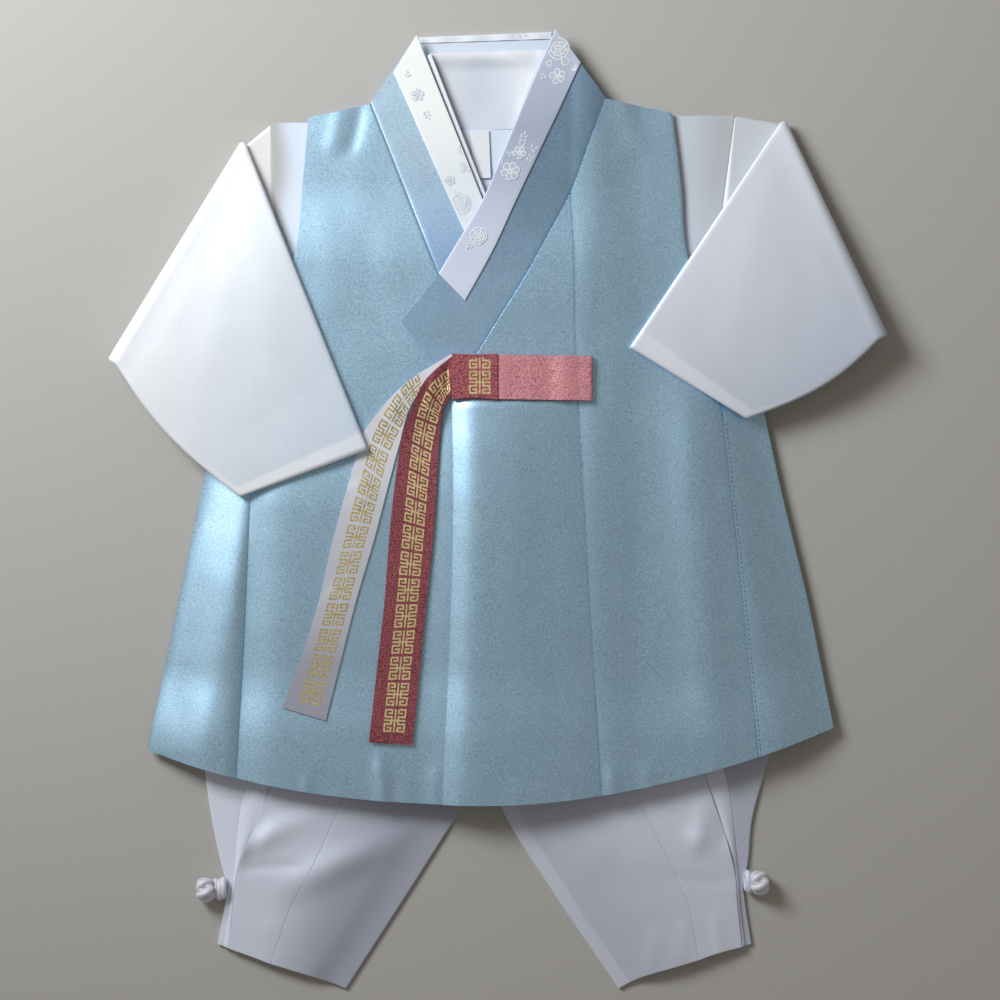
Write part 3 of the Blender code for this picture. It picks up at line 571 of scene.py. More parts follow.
def lay(node, place, material, slot, rests_on, step=STEP, wall=WALL, layers=None, rim=RIM,
        share=RIM_SHARE, dip=0.0):
    """layers(x, y, edge) says how much cloth shows at a point, and on some pieces it also carries
    painted light and shade. The wall thins to share at its rims, and on its right it is pressed
    down by dip.
    """
    across, down = lengths(points_of(place, np.linspace(0, 1, 24), np.linspace(0, 1, 24)))
    us, vs = spread(across.mean(), step, rim), spread(down.mean(), step, rim)
    points = points_of(place, us, vs)
    across, down = lengths(points)
    edge = np.minimum(
        np.minimum(us, 1 - us)[None, :] * across[:, None],
        np.minimum(vs, 1 - vs)[:, None] * down[None, :],
    )
    inwards = np.clip(edge / rim, 0, 1)
    thickness = wall * (share + (1 - share) * np.sqrt(1 - (1 - inwards) ** 2))
    from_right = np.clip((1 - us)[None, :] * across[:, None] / rim, 0, 1)
    thickness -= dip * (1 - from_right) ** 2
    cover = layers(points[..., 0], points[..., 1], edge) if layers else np.ones_like(edge)
    bm, spots = grid_on(points)
    rise = bm.verts.layers.float.new("rise")
    shade = bm.verts.layers.float.new("layers")
    for vert, spot in zip(bm.verts, spots):
        vert[rise] = thickness[spot]
        vert[shade] = cover[spot]
    area = sum(face.calc_area() for face in bm.faces)
    raised = bmesh.ops.extrude_face_region(bm, geom=bm.faces[:])["geom"]
    for item in raised:
        if isinstance(item, bmesh.types.BMVert):
            item.co.z += item[rise]
    bm.verts.layers.float.remove(rise)
    piece = finish_mesh(node + "_cloth", bm, material)
    declare(piece, node, (across.max(), down.max()), area, rests_on)
    return piece


def stand_in(piece, node):
    """Hangs a piece on the root and hides the solid it is shown for."""
    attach(piece, "root")
    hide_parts(node)


def declare(piece, node, cut, area, rests_on):
    """Hides the solid a piece of cloth stands for, and prints its cut size, its faces and how far
    it lies off that solid.
    """
    stand_in(piece, node)
    flat = (cut[0] * MM, cut[1] * MM)
    area = min(area * MM**2, flat[0] * flat[1])
    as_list(rests_on)
    low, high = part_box(node)
    own = np.array([v.co for v in piece.data.vertices])
    off = max(abs(own.min(0)[:2] - low[:2]).max(), abs(own.max(0)[:2] - high[:2]).max()) / MM
    size = f"cut {cut[0]:.0f} x {cut[1]:.0f} mm, {len(piece.data.polygons)} faces"
    print(f"{piece.name}: {size}, {off:.1f} mm off its solid")


def fold_over(node, place, counts, material, rests_on, wall):
    """Makes a strip folded back on itself. Its place is its outer face, with the wall inside."""
    points = points_of(place, np.linspace(0, 1, counts[0]), np.linspace(0, 1, counts[1]))
    across, down = lengths(points)
    bm, _ = grid_on(points)
    shade = bm.verts.layers.float.new("layers")
    for vert in bm.verts:
        vert[shade] = 1.0
    area = sum(face.calc_area() for face in bm.faces)
    bmesh.ops.solidify(bm, geom=bm.faces[:], thickness=wall)
    piece = finish_mesh(node + "_cloth", bm, material)
    declare(piece, node, (across.max(), down.max()), area, rests_on)
    return piece


def panel(left, right, top, bottom, height, ease=1.0, gap=GAP):
    """Where a cut panel lies, between two lines down the set and two edges across it.

    An ease below 1 brings its rows closer together towards the bottom.
    """

    def place(u, v):
        v = v**ease
        y = top(u) * (1 - v) + bottom(u) * v
        x = (left(y) + gap) * (1 - u) + (right(y) - gap) * u
        return x, y, height(x, y)

    return place


def band(first, second, height):
    """Where a band or ribbon lies, between two edges, each a curve through its points."""

    def place(u, v):
        a, b = along(first, v), along(second, v)
        x, y = np.moveaxis(a + (b - a) * u[..., None], -1, 0)
        return x, y, height(x, y)

    return place


# %% [markdown]
# ## The layers
#
# The vest and jacket lie on the trousers, and each front comes down to the back at its side seams.
# Between two seams a skirt panel swells up a little, which is what gives each one a light and a
# dark side. These heights are the ones that the solids have, with swells and creases added.

# %% Seams of the vest, and heights
VEST_CENTRE = -5.0
HEM_MIDDLE = -190.5
HEM_HALF = 223.0
HEM_LEFT = (34.9, 2.3)  # how far the hem rises to its left end, and the power it rises with
HEM_RIGHT = (48.7, 1.85)
VEST_SIDE_LEFT = line((164, -198), (114, -172), (26, -190), (-66, -209), (-156, -228))
VEST_GORE_LEFT = line((122, -154), (10, -160), (-90, -164.5), (-174, -169))
VEST_GORE_RIGHT = line((125, 140), (62, 146), (-40, 157), (-160, 169))
VEST_SIDE_RIGHT = line((164, 190), (112, 162), (62, 174), (20, 183), (-59, 202), (-141, 218.5))
OVERLAP_EDGE = line((74, -30), (30, -29), (-33, -29.5), (-124, -33), (-191, -36))
OVERLAP_SEAM = line((206, 47.5), (176, 49.5), (100, 51), (26, 55), (-72, 60.5), (-186, 67.5))
UNDER_EDGE = line((140, -33), (107, -20), (0, -8), (-190, 2))
ARMHOLE_LEFT = line((254.8, -123.0), (214.5, -126.4), (161, -133), (138, -142), (122, -154))
ARMHOLE_RIGHT = line((258, 113.5), (214, 119), (161, 124), (140, 131), (125, 140))
EDGE_LEFT = joined(ARMHOLE_LEFT, VEST_GORE_LEFT, 122.0)
EDGE_RIGHT = joined(ARMHOLE_RIGHT, VEST_GORE_RIGHT, 125.0)


def hem(x):
    """The vest's hem is a shallow bow, a little higher at the right because the set lies turned."""
    across = (x - VEST_CENTRE) / HEM_HALF
    left = HEM_LEFT[0] * abs(across) ** HEM_LEFT[1]
    right = HEM_RIGHT[0] * abs(across) ** HEM_RIGHT[1]
    return HEM_MIDDLE + np.where(across < 0, left, right)


def hem_between(left, right, lift):
    first, last = left(HEM_MIDDLE), right(HEM_MIDDLE)
    return lambda u: hem(first + (last - first) * u) + lift


def bed(y):
    """Height of the surface under vest and jacket: the floor at the neck, then the trousers."""
    return TROUSER_BED * ramp(y, 215, 158) + PLEAT_BED * ramp(y, -100, -150)


def at_level(level):
    return lambda x, y: bed(y) + level


# How each gore swells: how high, the width over which it rises behind its left seam, and the width
# over which it comes down to its right one.
UNDER_SIDE_SWELL = (3.2, 26, 4)
OVERLAP_SWELL = (5.2, 9, 44)
OVER_FRONT_SWELL = (1.0, 5, 5)
OVER_SIDE_SWELL = (0.5, 4, 6)
SKIRT_SWELL = (4.4, 14, 140)  # the same for both fronts together, behind the left gore seam
HEM_CURL = 1.2  # how far the hem stands up
EDGE_LIFT = 1.6  # what the layers under the free edge of the overlap add
VEST_RUMPLE = 0.09


def swell(x, y, left, right, height, flank, fall):
    """A panel that stands up behind its left seam and comes down to its right one."""
    rise = 1 - np.exp(-((np.maximum(x - left(y), 0) / flank) ** 1.5))
    drop = 1 - np.exp(-np.maximum(right(y) - x, 0) / fall)
    return height * rise * drop


def skirt_lift(x, y):
    """What lifts both fronts: a flank behind the left gore seam, and one under the free edge."""
    height, flank, fall = SKIRT_SWELL
    beyond = np.maximum(x - VEST_GORE_LEFT(y), 0)
    rise = (1 - np.exp(-((beyond / flank) ** 1.5))) * np.exp(-beyond / fall)
    under_edge = ramp(x - OVERLAP_EDGE(y), -18, 4)
    swelling = height * rise * ramp(y, 60, 0) * ramp(x, 190, -70)
    curl = HEM_CURL * ramp(y - hem(x), 60, 0)
    return swelling + curl + EDGE_LIFT * under_edge * ramp(y, 84, 40) * ramp(x, 150, 0)


def front_height(x, y, level):
    """A front that rises from the back at a side seam to its own level, with its creases."""
    inside = np.minimum(x - VEST_SIDE_LEFT(y), VEST_SIDE_RIGHT(y) - x)
    edge = VEST_BACK + CLOTH + REST
    crease = relief(x, y, VEST_CREASES) + rumple(x, y, VEST_RUMPLE) + skirt_lift(x, y)
    rise = (level - edge) * ramp(inside, 0, SIDE_SLOPE)
    return bed(y) + edge + rise + crease * ramp(inside, 0, 15)


def vest_under_height(x, y):
    side = swell(x, y, VEST_SIDE_LEFT, VEST_GORE_LEFT, *UNDER_SIDE_SWELL) * ramp(y, 40, -60)
    return front_height(x, y, VEST_UNDER) + np.where(x < VEST_GORE_LEFT(y), side, 0.0)


def vest_over_height(x, y):
    crossing = OVER_COLLAR_LIFT * ramp(y, 100, 150)
    level = VEST_UNDER + (VEST_OVER + crossing - VEST_UNDER) * ramp(x, 95, 60)
    overlap = swell(x, y, OVERLAP_EDGE, OVERLAP_SEAM, *OVERLAP_SWELL) * ramp(y, 84, 66)
    front = swell(x, y, OVERLAP_SEAM, VEST_GORE_RIGHT, *OVER_FRONT_SWELL)
    front = front * (0.4 + ramp(y, -110, -190))
    side = swell(x, y, VEST_GORE_RIGHT, VEST_SIDE_RIGHT, *OVER_SIDE_SWELL)
    own = np.where(x < OVERLAP_SEAM(y), overlap, np.where(x < VEST_GORE_RIGHT(y), front, side))
    return front_height(x, y, level) + own


def jacket_over_height(x, y):
    return bed(y) + JACKET_UNDER + (JACKET_OVER - JACKET_UNDER) * ramp(x, 100, 60)


# %% [markdown]
# ## Trousers
#
# Each leg has a back, a front in two parts, an outer panel and the pleat that the knotted button
# pulls together. Only what the vest leaves bare gets a fine grid. The cloth is thin, so where the
# inner seam is turned in, a paler strip as wide as the seam allowance shows along the edge. Over
# this, the colour across each front and on the outer panels is painted light and shade.

# %% Legs
WAIST = 150.0
CROTCH_Y = -171.0
TROUSER_CENTRE = line((WAIST, -6.8), (CROTCH_Y, -6.8))
PLEAT_STEP = CLOTH + REST
PLEAT_START = -100.0
PLEAT_TOP = -125.0
LEG_EASE = 0.55
TROUSER_GAP = 0.02
TROUSER_RIM = {"rim": 0.4, "share": 0.8}
# outer to inner: lines down the leg, from its outer edge to its inseam. allowance: how much is
# turned in there. cover: painted light and shade across the front, from the inseam
# to the pleat. outer_cover: the same on the outer panel, lit on the left leg and shaded on
# the right one. hem_bow: how far the ankle hem bows up.
Leg = namedtuple("Leg", """side outer fold edge seam inner hem_outer hem_inner
                 allowance cover outer_cover hem_bow""")
LEGS = (
    Leg(
        side="left",
        outer=line((150, -150), (0, -184), (-100, -194), (-168, -191), (-235, -179), (-246, -176),
                   (-256, -177.5), (-283, -182.5)),
        fold=line((-100, -136), (-140, -149), (-179, -164), (-240, -172.5), (-256, -174.5),
                  (-283, -178.5)),
        edge=line((150, -108), (0, -126), (-100, -136), (-150, -141), (-182, -149), (-238, -169.5),
                  (-256, -172), (-283, -174)),
        seam=line((150, -60), (-120, -88), (-192, -102.5), (-224, -116.5), (-260, -135),
                  (-294, -147)),
        inner=line((CROTCH_Y, -7.2), (-188, -19), (-250, -59), (-312, -99)),
        hem_outer=(-182.5, -283.0),
        hem_inner=(-99.0, -312.0),
        allowance=0.1,
        cover=(0.2, 0.8),
        outer_cover=1.0,
        hem_bow=0.0,
    ),
    Leg(
        side="right",
        outer=line((150, 136), (0, 176), (-100, 186), (-159, 177), (-204, 165.5), (-233, 162.5),
                   (-243, 160), (-254, 161), (-283, 165.5)),
        fold=line((-100, 124), (-140, 139), (-179, 150), (-221, 155.5), (-240, 157), (-254, 158),
                  (-283, 161.5)),
        edge=line((150, 96), (0, 114), (-100, 124), (-150, 128), (-179, 137), (-214, 149),
                  (-240, 155), (-254, 156), (-283, 159)),
        seam=line((150, 52), (-120, 82), (-189, 92.5), (-229, 112), (-257, 124), (-293, 131)),
        inner=line((CROTCH_Y, -6.4), (-192, 1.5), (-250, 37), (-312, 79)),
        hem_outer=(165.5, -283.0),
        hem_inner=(79.0, -312.0),
        allowance=8.0,
        cover=(0.5, 0.85),
        outer_cover=0.4,
        hem_bow=2.2,
    ),
)


def ankle_hem(leg, first, last):
    """The ankle hem between two lines of the leg, as y for each u, bowed up at its middle."""
    (x0, y0), (x1, y1) = leg.hem_outer, leg.hem_inner
    slope = (y1 - y0) / (x1 - x0)

    def hem_y(x):
        share = np.clip((x - x0) / (x1 - x0), 0, 1)
        arch = np.sin(np.pi * share)
        bow = leg.hem_bow * (arch + 0.25 * np.sin(9 * share) * arch)
        return y0 + slope * (x - x0) + bow

    def meeting(edge):
        x = edge(y0)
        for _ in range(20):
            x = edge(y0 + slope * (x - x0))
        return x

    start, end = meeting(first), meeting(last)
    return lambda u: hem_y(start + (end - start) * u)


def leg_height(leg):
    def height(x, y):
        inside = np.where(y < CROTCH_Y, abs(x - leg.inner(y)), SIDE_SLOPE)
        across = abs(x - leg.edge(y)) / np.maximum(abs(leg.inner(y) - leg.edge(y)), 1.0)
        folds = 2 * PLEAT_STEP * ramp(y, -118, -150) * ramp(across, 1.0, 0.45)
        shown = ramp(hem(x) - y, 6, 50)
        puff = LEG_PUFF * shown * np.sin(np.pi * np.minimum(across, 1.0))
        crease = (relief(x, y, LEG_CREASES) + rumple(x, y, 0.2)) * shown * ramp(inside, 0, 12)
        edge = CLOTH + REST
        full = CLOTH + 0.5 + folds + puff + crease
        return edge + (full - edge) * ramp(inside, 0, 30)

    return height


def leg_layers_and_painted_shade(leg):
    """A lighter strip along the inner seam, where the allowance is turned in, over painted light
    and shade that grows from the inseam towards the pleat.
    """

    def cover(x, y, edge):
        from_inner = abs(x - leg.inner(y))
        inner = ramp(from_inner, leg.allowance * 1.35, leg.allowance * 1.15)
        shade = ramp(from_inner / np.maximum(abs(leg.edge(y) - leg.inner(y)), 1.0), 0.2, 0.9)
        return leg.cover[0] + (leg.cover[1] - leg.cover[0]) * shade + 0.22 * inner

    return cover


def make_leg(leg):
    from_left = leg.side == "left"
    low = CLOTH + REST

    def inner_line(y):
        return np.where(y > CROTCH_Y, TROUSER_CENTRE(y), leg.inner(y))

    def piece(label, outer, inner, top, height, step, layers=None, ease=LEG_EASE, rests_on=()):
        to_inner = ankle_hem(leg, outer, inner)
        left, right = (outer, inner) if from_left else (inner, outer)
        bottom = lambda u: to_inner(u if from_left else 1 - u)
        place = panel(left, right, ends(top, top), bottom, height, ease, gap=TROUSER_GAP)
        node = f"trouser_{leg.side}_{label}"
        lay(node, place, TROUSER_SILK, "trouser_cotton", rests_on, step, layers=layers,
            **TROUSER_RIM)

    def strip_height(x, y):
        width = np.maximum(abs(leg.edge(y) - leg.fold(y)), 0.1)
        share = np.minimum(abs(x - leg.fold(y)) / width, 1.0)
        return low + PLEAT_STEP * (0.2 + share) + 0.9 * np.sin(np.pi * share)

    height = leg_height(leg)
    back = f"trouser_{leg.side}_back"
    outer_height = lambda x, y: low + 0.0 * x
    outer_cover = lambda x, y, edge: leg.outer_cover + 0.0 * x
    piece("back", leg.outer, inner_line, WAIST, lambda x, y: 0.0 * x, COARSE)
    piece("front_inner", leg.seam, inner_line, WAIST, height, 2.6, leg_layers_and_painted_shade(leg), rests_on=[back])
    piece("front_outer", leg.edge, leg.seam, WAIST, height, 2.2, leg_layers_and_painted_shade(leg), rests_on=[back])
    outer_end = joined(leg.edge, leg.fold, PLEAT_START)
    piece("outer", leg.outer, outer_end, WAIST, outer_height, 3.0, outer_cover, rests_on=[back])
    piece("pleat", leg.fold, leg.edge, PLEAT_TOP, strip_height, 1.5, ease=1.0, rests_on=[back])


for leg in LEGS:
    make_leg(leg)

# %% [markdown]
# ## Knotted buttons
#
# Each ankle closes with a button of cord, tied as a Turk's head: one closed cord that runs twice
# round a ball and crosses itself over and under. Its line is a curve round a sphere whose radius
# goes in and out, and a bevelled curve makes the cord. A short wrap of the same cord joins it to
# the leg.

# %% Turk's head buttons
CORD_RADIUS = 2.2
KNOT_SIZE = 15.0
BIGHTS = 5  # how often the cord swings from side to side on its two turns
SWING = math.radians(46)
WEAVE = 0.18  # how far it goes in and out, as a share of its radius
KNOT_SHIFT = 1.2  # how much nearer the leg the ball lies than its solid
KNOT_RAISE = 2.0  # and how much higher, so that its cord stays above the floor
CORE_DEPTH = 0.4
WRAPS = ((0.1, 4.2), (0.5, 4.9), (0.9, 5.2))  # share of the way from ball to leg, and radius
WRAP_HEIGHT = 5.4
WRAP_FLATNESS = 0.6


def cord(name, points, radius, closed):
    """A mesh tube along points in millimetres, made from a bevelled curve."""
    curve = bpy.data.curves.new(name, "CURVE")
    curve.dimensions = "3D"
    curve.bevel_depth = radius
    curve.bevel_resolution = 3
    curve.use_fill_caps = True
    spline = curve.splines.new("POLY")
    spline.points.add(len(points) - 1)
    for spot, point in zip(spline.points, points):
        spot.co = (*point, 1.0)
    spline.use_cyclic_u = closed
    holder = bpy.data.objects.new(name, curve)
    bpy.context.scene.collection.objects.link(holder)
    bpy.context.view_layer.update()
    evaluated = holder.evaluated_get(bpy.context.evaluated_depsgraph_get())
    made = bpy.data.meshes.new_from_object(evaluated)
    bpy.data.objects.remove(holder)
    return made


def knot_line(centre, radius, count=120):
    """One cord that goes twice round a ball and weaves over and under itself."""
    for i in range(count):
        t = 2 * math.pi * i / count
        height = SWING * math.cos(BIGHTS * t)
        r = radius * (1 + WEAVE * math.sin(BIGHTS * t))
        turn = 2 * t
        flat = r * math.cos(height)
        yield centre + Vector((r * math.sin(height), flat * math.cos(turn), flat * math.sin(turn)))


def wrap_line(centre, radius, count=28):
    """A ring of cord round the x axis."""
    for i in range(count):
        t = 2 * math.pi * i / count
        across, up = radius * math.cos(t), radius * WRAP_FLATNESS * math.sin(t)
        yield centre + Vector((0.5 * math.sin(t), across, up))


def join_meshes(name, meshes, material):
    bm = bmesh.new()
    for mesh in meshes:
        bm.from_mesh(mesh)
    bmesh.ops.remove_doubles(bm, verts=bm.verts, dist=0.001)
    return finish_mesh(name, bm, material)


def make_button(side, outward):
    low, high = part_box(f"trouser_{side}_knot")
    centre = (low + high) / 2 / MM + Vector((-outward * KNOT_SHIFT, 0, KNOT_RAISE))
    radius = KNOT_SIZE / 2 - CORD_RADIUS
    core = bmesh.new()
    bmesh.ops.create_icosphere(core, subdivisions=3, radius=radius - CORE_DEPTH,
                               matrix=Matrix.Translation(centre))
    ball = bpy.data.meshes.new("core")
    core.to_mesh(ball)
    core.free()
    name = f"trouser_{side}_knot_cord"
    turns = cord(name, list(knot_line(centre, radius)), CORD_RADIUS, True)
    stand_in(join_meshes(name, [turns, ball], CORD_SATIN), f"trouser_{side}_knot")
    low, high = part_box(f"trouser_{side}_loop")
    start, end = (low.x / MM, high.x / MM) if outward < 0 else (high.x / MM, low.x / MM)
    rings = []
    for share, size in WRAPS:
        sway = 0.6 * math.sin(9 * share)
        spot = Vector((start + (end - start) * share, centre.y + sway, WRAP_HEIGHT))
        rings.append(cord("wrap", list(wrap_line(spot, size)), CORD_RADIUS, True))
    wrap = join_meshes(f"trouser_{side}_loop_cord", rings, CORD_SATIN)
    stand_in(wrap, f"trouser_{side}_loop")


make_button("left", -1)
make_button("right", 1)

# %% [markdown]
# ## Jacket
#
# The jacket shows at the neck, at the shoulders and as the two sleeves. Its collar is a band of
# even width, so its outer edge is its inner edge moved sideways. The back of the neck is one fold
# of cloth, with a bare label hanging from the seam below it.

# %% Jacket body
JACKET_LEFT = line((252, -147), (190, -143), (134, -140), (90, -144), (20, -150))
JACKET_RIGHT = line((257, 153), (190, 144), (134, 136), (90, 138), (20, 142))
JACKET_HEM = 20.0
NECK_SEAM = 248.0
COLLAR_WIDTH = 47.5
NECK_CORNER_LEFT = (-81.3, 263.0)
NECK_CORNER_RIGHT = (67.8, 266.0)
SHOULDER_BEND = 0.37
JACKET_COLLAR_LEFT = [(-43.5, 297.0), (-31.5, 266.0), (-19.0, 234.0), (-6.0, 201.0), (5.0, 172.0)]
JACKET_COLLAR_RIGHT = [(29.5, 299.5), (17.5, 268.0), (5.0, 234.0), (-7.5, 202.0), (-24.0, 172.0),
                       (-44.0, 146.0)]


def offset_edge(points, width):
    """The other edge of a band of even width, on the side to the right of its run."""
    curve = [Vector(p) for p in points]
    other = []
    for i, point in enumerate(curve):
        run = (curve[min(i + 1, len(curve) - 1)] - curve[max(i - 1, 0)]).normalized()
        other.append(tuple(point + Vector((-run.y, run.x)) * width))
    return other


def collar_side(points):
    return line(*[(p[1], p[0]) for p in points])


def shoulder_layers(x, y, edge):
    """One layer near the armhole seam and two nearer the vest, with a soft border."""
    return ramp(abs(x) + 2 * np.sin(y * 0.09), 146, 132)


def neck_height(x, y):
    """The back of the neck stands up a little at its fold."""
    return bed(y) + JACKET_BACK + 2.2 * ramp(y, 286, 297) + 0.5 * np.sin(x * 0.11 + 0.4)


def neck_layers_and_painted_folds(x, y, edge):
    """Faint folds down the neck drawn as painted light and shade, a doubled edge at its top, and
    more cloth towards the right.
    """
    folds = 0.16 * np.sin(x * 0.16) * ramp(y, 250, 270)
    return 0.5 + folds + 0.4 * ramp(y, 290, 296) + 0.9 * ramp(x, 4, 28)


def over_sleeve(edge, height):
    """A front's height, lifted beside the armhole seam where it is sewn onto its sleeve."""
    return lambda x, y: height(x, y) + 0.15 * ramp(abs(x - edge(y)), 4, 1.5)


def shoulder_left(u):
    return np.interp(u, (0, SHOULDER_BEND, 1), (252.0, 252.0, 260.5))


def shoulder_right(u):
    return np.interp(u, (0, 1 - SHOULDER_BEND, 1), (263.5, 256.5, 257.0))


left_outer = [NECK_CORNER_LEFT] + offset_edge(JACKET_COLLAR_LEFT, -COLLAR_WIDTH)[1:]
right_outer = [NECK_CORNER_RIGHT] + offset_edge(JACKET_COLLAR_RIGHT, COLLAR_WIDTH)[1:]
lay("jacket_back", panel(JACKET_LEFT, JACKET_RIGHT, ends(NECK_SEAM, NECK_SEAM),
                         ends(JACKET_HEM, JACKET_HEM), at_level(JACKET_BACK)),
    SHOULDER_SILK, "sheer_silk", ["vest_back"], step=4.0)
neck_left, neck_right = line((298, -44), (NECK_SEAM, -62)), line((298, 30), (NECK_SEAM, 50))
lay("jacket_collar_back", panel(neck_left, neck_right, ends(297.0, 299.5),
                                ends(NECK_SEAM, NECK_SEAM), neck_height, gap=0.02),
    COLLAR_SILK, "white_silk", ["vest_collar_back"], layers=neck_layers_and_painted_folds, rim=0.4, share=0.8)
SLEEVE_SEAM = 1.2  # how far a front goes on past the armhole line, onto its sleeve
left_seam = lambda y: JACKET_LEFT(y) - SLEEVE_SEAM
right_seam = lambda y: JACKET_RIGHT(y) + SLEEVE_SEAM
lay("jacket_under_front", panel(left_seam, collar_side(left_outer), shoulder_left,
                                ends(JACKET_HEM, JACKET_HEM),
                                over_sleeve(left_seam, at_level(JACKET_UNDER))),
    SHOULDER_SILK, "sheer_silk", ["jacket_back"], step=3.0, layers=shoulder_layers)
lay("jacket_over_front", panel(collar_side(right_outer), right_seam, shoulder_right,
                               ends(JACKET_HEM, JACKET_HEM),
                               over_sleeve(right_seam, jacket_over_height)),
    SHOULDER_SILK, "sheer_silk", ["jacket_back"], step=3.0,
    layers=lambda x, y, edge: 0.25 + 0.5 * ramp(x, 150, 120))
COLLAR_ROLL = 2.4  # how far the left collar rolls up at its inner edge
inner_left = collar_side(JACKET_COLLAR_LEFT)
rolled = lambda x, y: bed(y) + JACKET_UNDER + COLLAR_ROLL * ramp(abs(x - inner_left(y)), 5, 2.5)
# Painted shade: the left collar is darker than the right by a constant, for the shade of the vest
# collar beside it.
lay("jacket_collar_left", band(JACKET_COLLAR_LEFT, left_outer, rolled),
    COLLAR_SILK, "white_silk", ["jacket_back"], layers=lambda x, y, edge: 0.7 + 0.0 * x)
lay("jacket_collar_right", band(JACKET_COLLAR_RIGHT, right_outer, jacket_over_height),
    COLLAR_SILK, "white_silk", ["jacket_collar_left"], step=3.0)

# %% [markdown]
# ### Neck label
#
# A short tape is sewn in below the neck and lifts a little at its lower end. It is left bare.

# %% The bare label
LABEL_SIZE = (11.7, 31.0)
LABEL_CENTRE = Vector((-10.8, 231.5))
LABEL_TURN = math.radians(2.0)
LABEL_HEIGHT = 3.2


def label_place(u, v):
    across, down = (u - 0.5) * LABEL_SIZE[0], (0.5 - v) * LABEL_SIZE[1]
    cosine, sine = math.cos(LABEL_TURN), math.sin(LABEL_TURN)
    x = LABEL_CENTRE.x + across * cosine - down * sine
    y = LABEL_CENTRE.y + across * sine + down * cosine
    return x, y, bed(y) + LABEL_HEIGHT + 0.9 * v**2 + 0.4 * u


lay("neck_label", label_place, LABEL_TAPE, "label_ribbon", ["jacket_back"], step=1.2, wall=0.4,
    share=0.8)

# %% [markdown]
# ## Sleeves
#
# A sleeve is a flat tube. It leaves the armhole, folds over along a diagonal and lies on the vest,
# so its cross-section is a long stadium that travels out, turns over round the fold and comes back.
# A grid is laid round these sections and closed into a tube, and a Solidify modifier gives it its
# wall, so that the cuff shows two layers with a gap.

# %% Sleeves
SLEEVE_THICK = 3.7
SLEEVE_START = 1.8  # height of a sleeve above its bed at the armhole, just under the front
# top and under: a sleeve's top edge and its underarm edge, at the armhole seam, at the fold and at
# the cuff. under_bow: how far the underarm edge bows out past the fold. folded_z: how high the two
# edges lie there. shade: painted light and shade, a number on the colour: how light a sleeve is at
# its inner corner, and what it gains outwards and upwards.
Sleeve = namedtuple("Sleeve", """side seam_top seam_under fold_top fold_under cuff_top cuff_under
                    under_bow folded_z shade""")
SLEEVES = (
    Sleeve("left", (-147.0, 251.6), (-140.0, 134.0), (-167, 240, 4.4), (-252.5, 97.5, 10.0),
           (-83.5, 39.0, 17.4), (-166.5, 8.5, 16.2), 7.0, (9.2, 21.0), (0.5, 0.45, 0.2)),
    Sleeve("right", (153.0, 257.0), (136.0, 134.0), (187.5, 253.5, 4.4), (252.5, 113.0, 12.0),
           (85.5, 105.3, 16.6), (161.0, 59.0, 16.2), 8.0, (9.6, 24.0), (0.55, -0.4, 0.6)),
)
SLEEVE_WALL = 0.8
SLEEVE_LEVEL = 15.2  # the least height of its upper part, which lies on the vest
SLEEVE_SWELL = 0.8
FLAT_COLUMNS = 56
CAP_COLUMNS = 6
OUT_ROWS, FOLD_ROWS, BACK_ROWS = 12, 15, 60  # out from the armhole, round the fold, and back
FOLD_END = OUT_ROWS + FOLD_ROWS - 1
UP = Vector((0, 0, 1))


def section(top, under, normal, half):
    """The stadium round a flat tube, from its top edge along one side to its underside and back."""
    across = (under - top).normalized()
    start, end = top + across * half, under - across * half
    ring = [start.lerp(end, i / FLAT_COLUMNS) + normal * half for i in range(FLAT_COLUMNS)]
    for i in range(CAP_COLUMNS):
        angle = math.pi * i / CAP_COLUMNS
        ring.append(end + across * half * math.sin(angle) + normal * half * math.cos(angle))
    ring += [end.lerp(start, i / FLAT_COLUMNS) - normal * half for i in range(FLAT_COLUMNS)]
    for i in range(CAP_COLUMNS):
        angle = math.pi * i / CAP_COLUMNS
        ring.append(start - across * half * math.sin(angle) - normal * half * math.cos(angle))
    return ring + [ring[0]]


def sleeve_sections(sleeve):
    """Rows of (top point, underside point, normal) from the armhole round the fold to the cuff."""
    fold_top, fold_under = Vector(sleeve.fold_top), Vector(sleeve.fold_under)
    cuff_top, cuff_under = Vector(sleeve.cuff_top), Vector(sleeve.cuff_under)
    out = UP.cross(fold_under - fold_top)
    out.z = 0
    out.normalize()
    if out.x * fold_under.x < 0:
        out = -out
    half = SLEEVE_THICK / 2
    top_radius = (sleeve.folded_z[0] - fold_top.z) / 2
    under_radius = (sleeve.folded_z[1] - fold_under.z) / 2
    top, under = sleeve.seam_top, sleeve.seam_under
    start_top = Vector((*top, bed(top[1]) + SLEEVE_START + half))
    start_under = Vector((*under, bed(under[1]) + SLEEVE_START + half))
    turn_top = fold_top - out * (top_radius + half)
    turn_under = fold_under - out * (under_radius + half)
    rows = []
    for i in range(OUT_ROWS):
        t = i / OUT_ROWS
        rows.append((start_top.lerp(turn_top, t), start_under.lerp(turn_under, t), UP))
    for i in range(FOLD_ROWS):
        angle = math.pi * i / (FOLD_ROWS - 1)
        shift = out * math.sin(angle) + UP * (1 - math.cos(angle))
        normal = UP * math.cos(angle) - out * math.sin(angle)
        rows.append((turn_top + shift * top_radius, turn_under + shift * under_radius, normal))
    top_start, under_start = rows[-1][0], rows[-1][1]
    side = (cuff_under - cuff_top).normalized()
    for i in range(1, BACK_ROWS + 1):
        t = i / BACK_ROWS
        top = top_start.lerp(cuff_top, t)
        under = under_start.lerp(cuff_under, t) + side * sleeve.under_bow * math.sin(math.pi * t)
        top.z += max(SLEEVE_LEVEL - top.z, 0) * ramp(t, 0, 0.45)
        rows.append((top, under, -UP))
    return rows


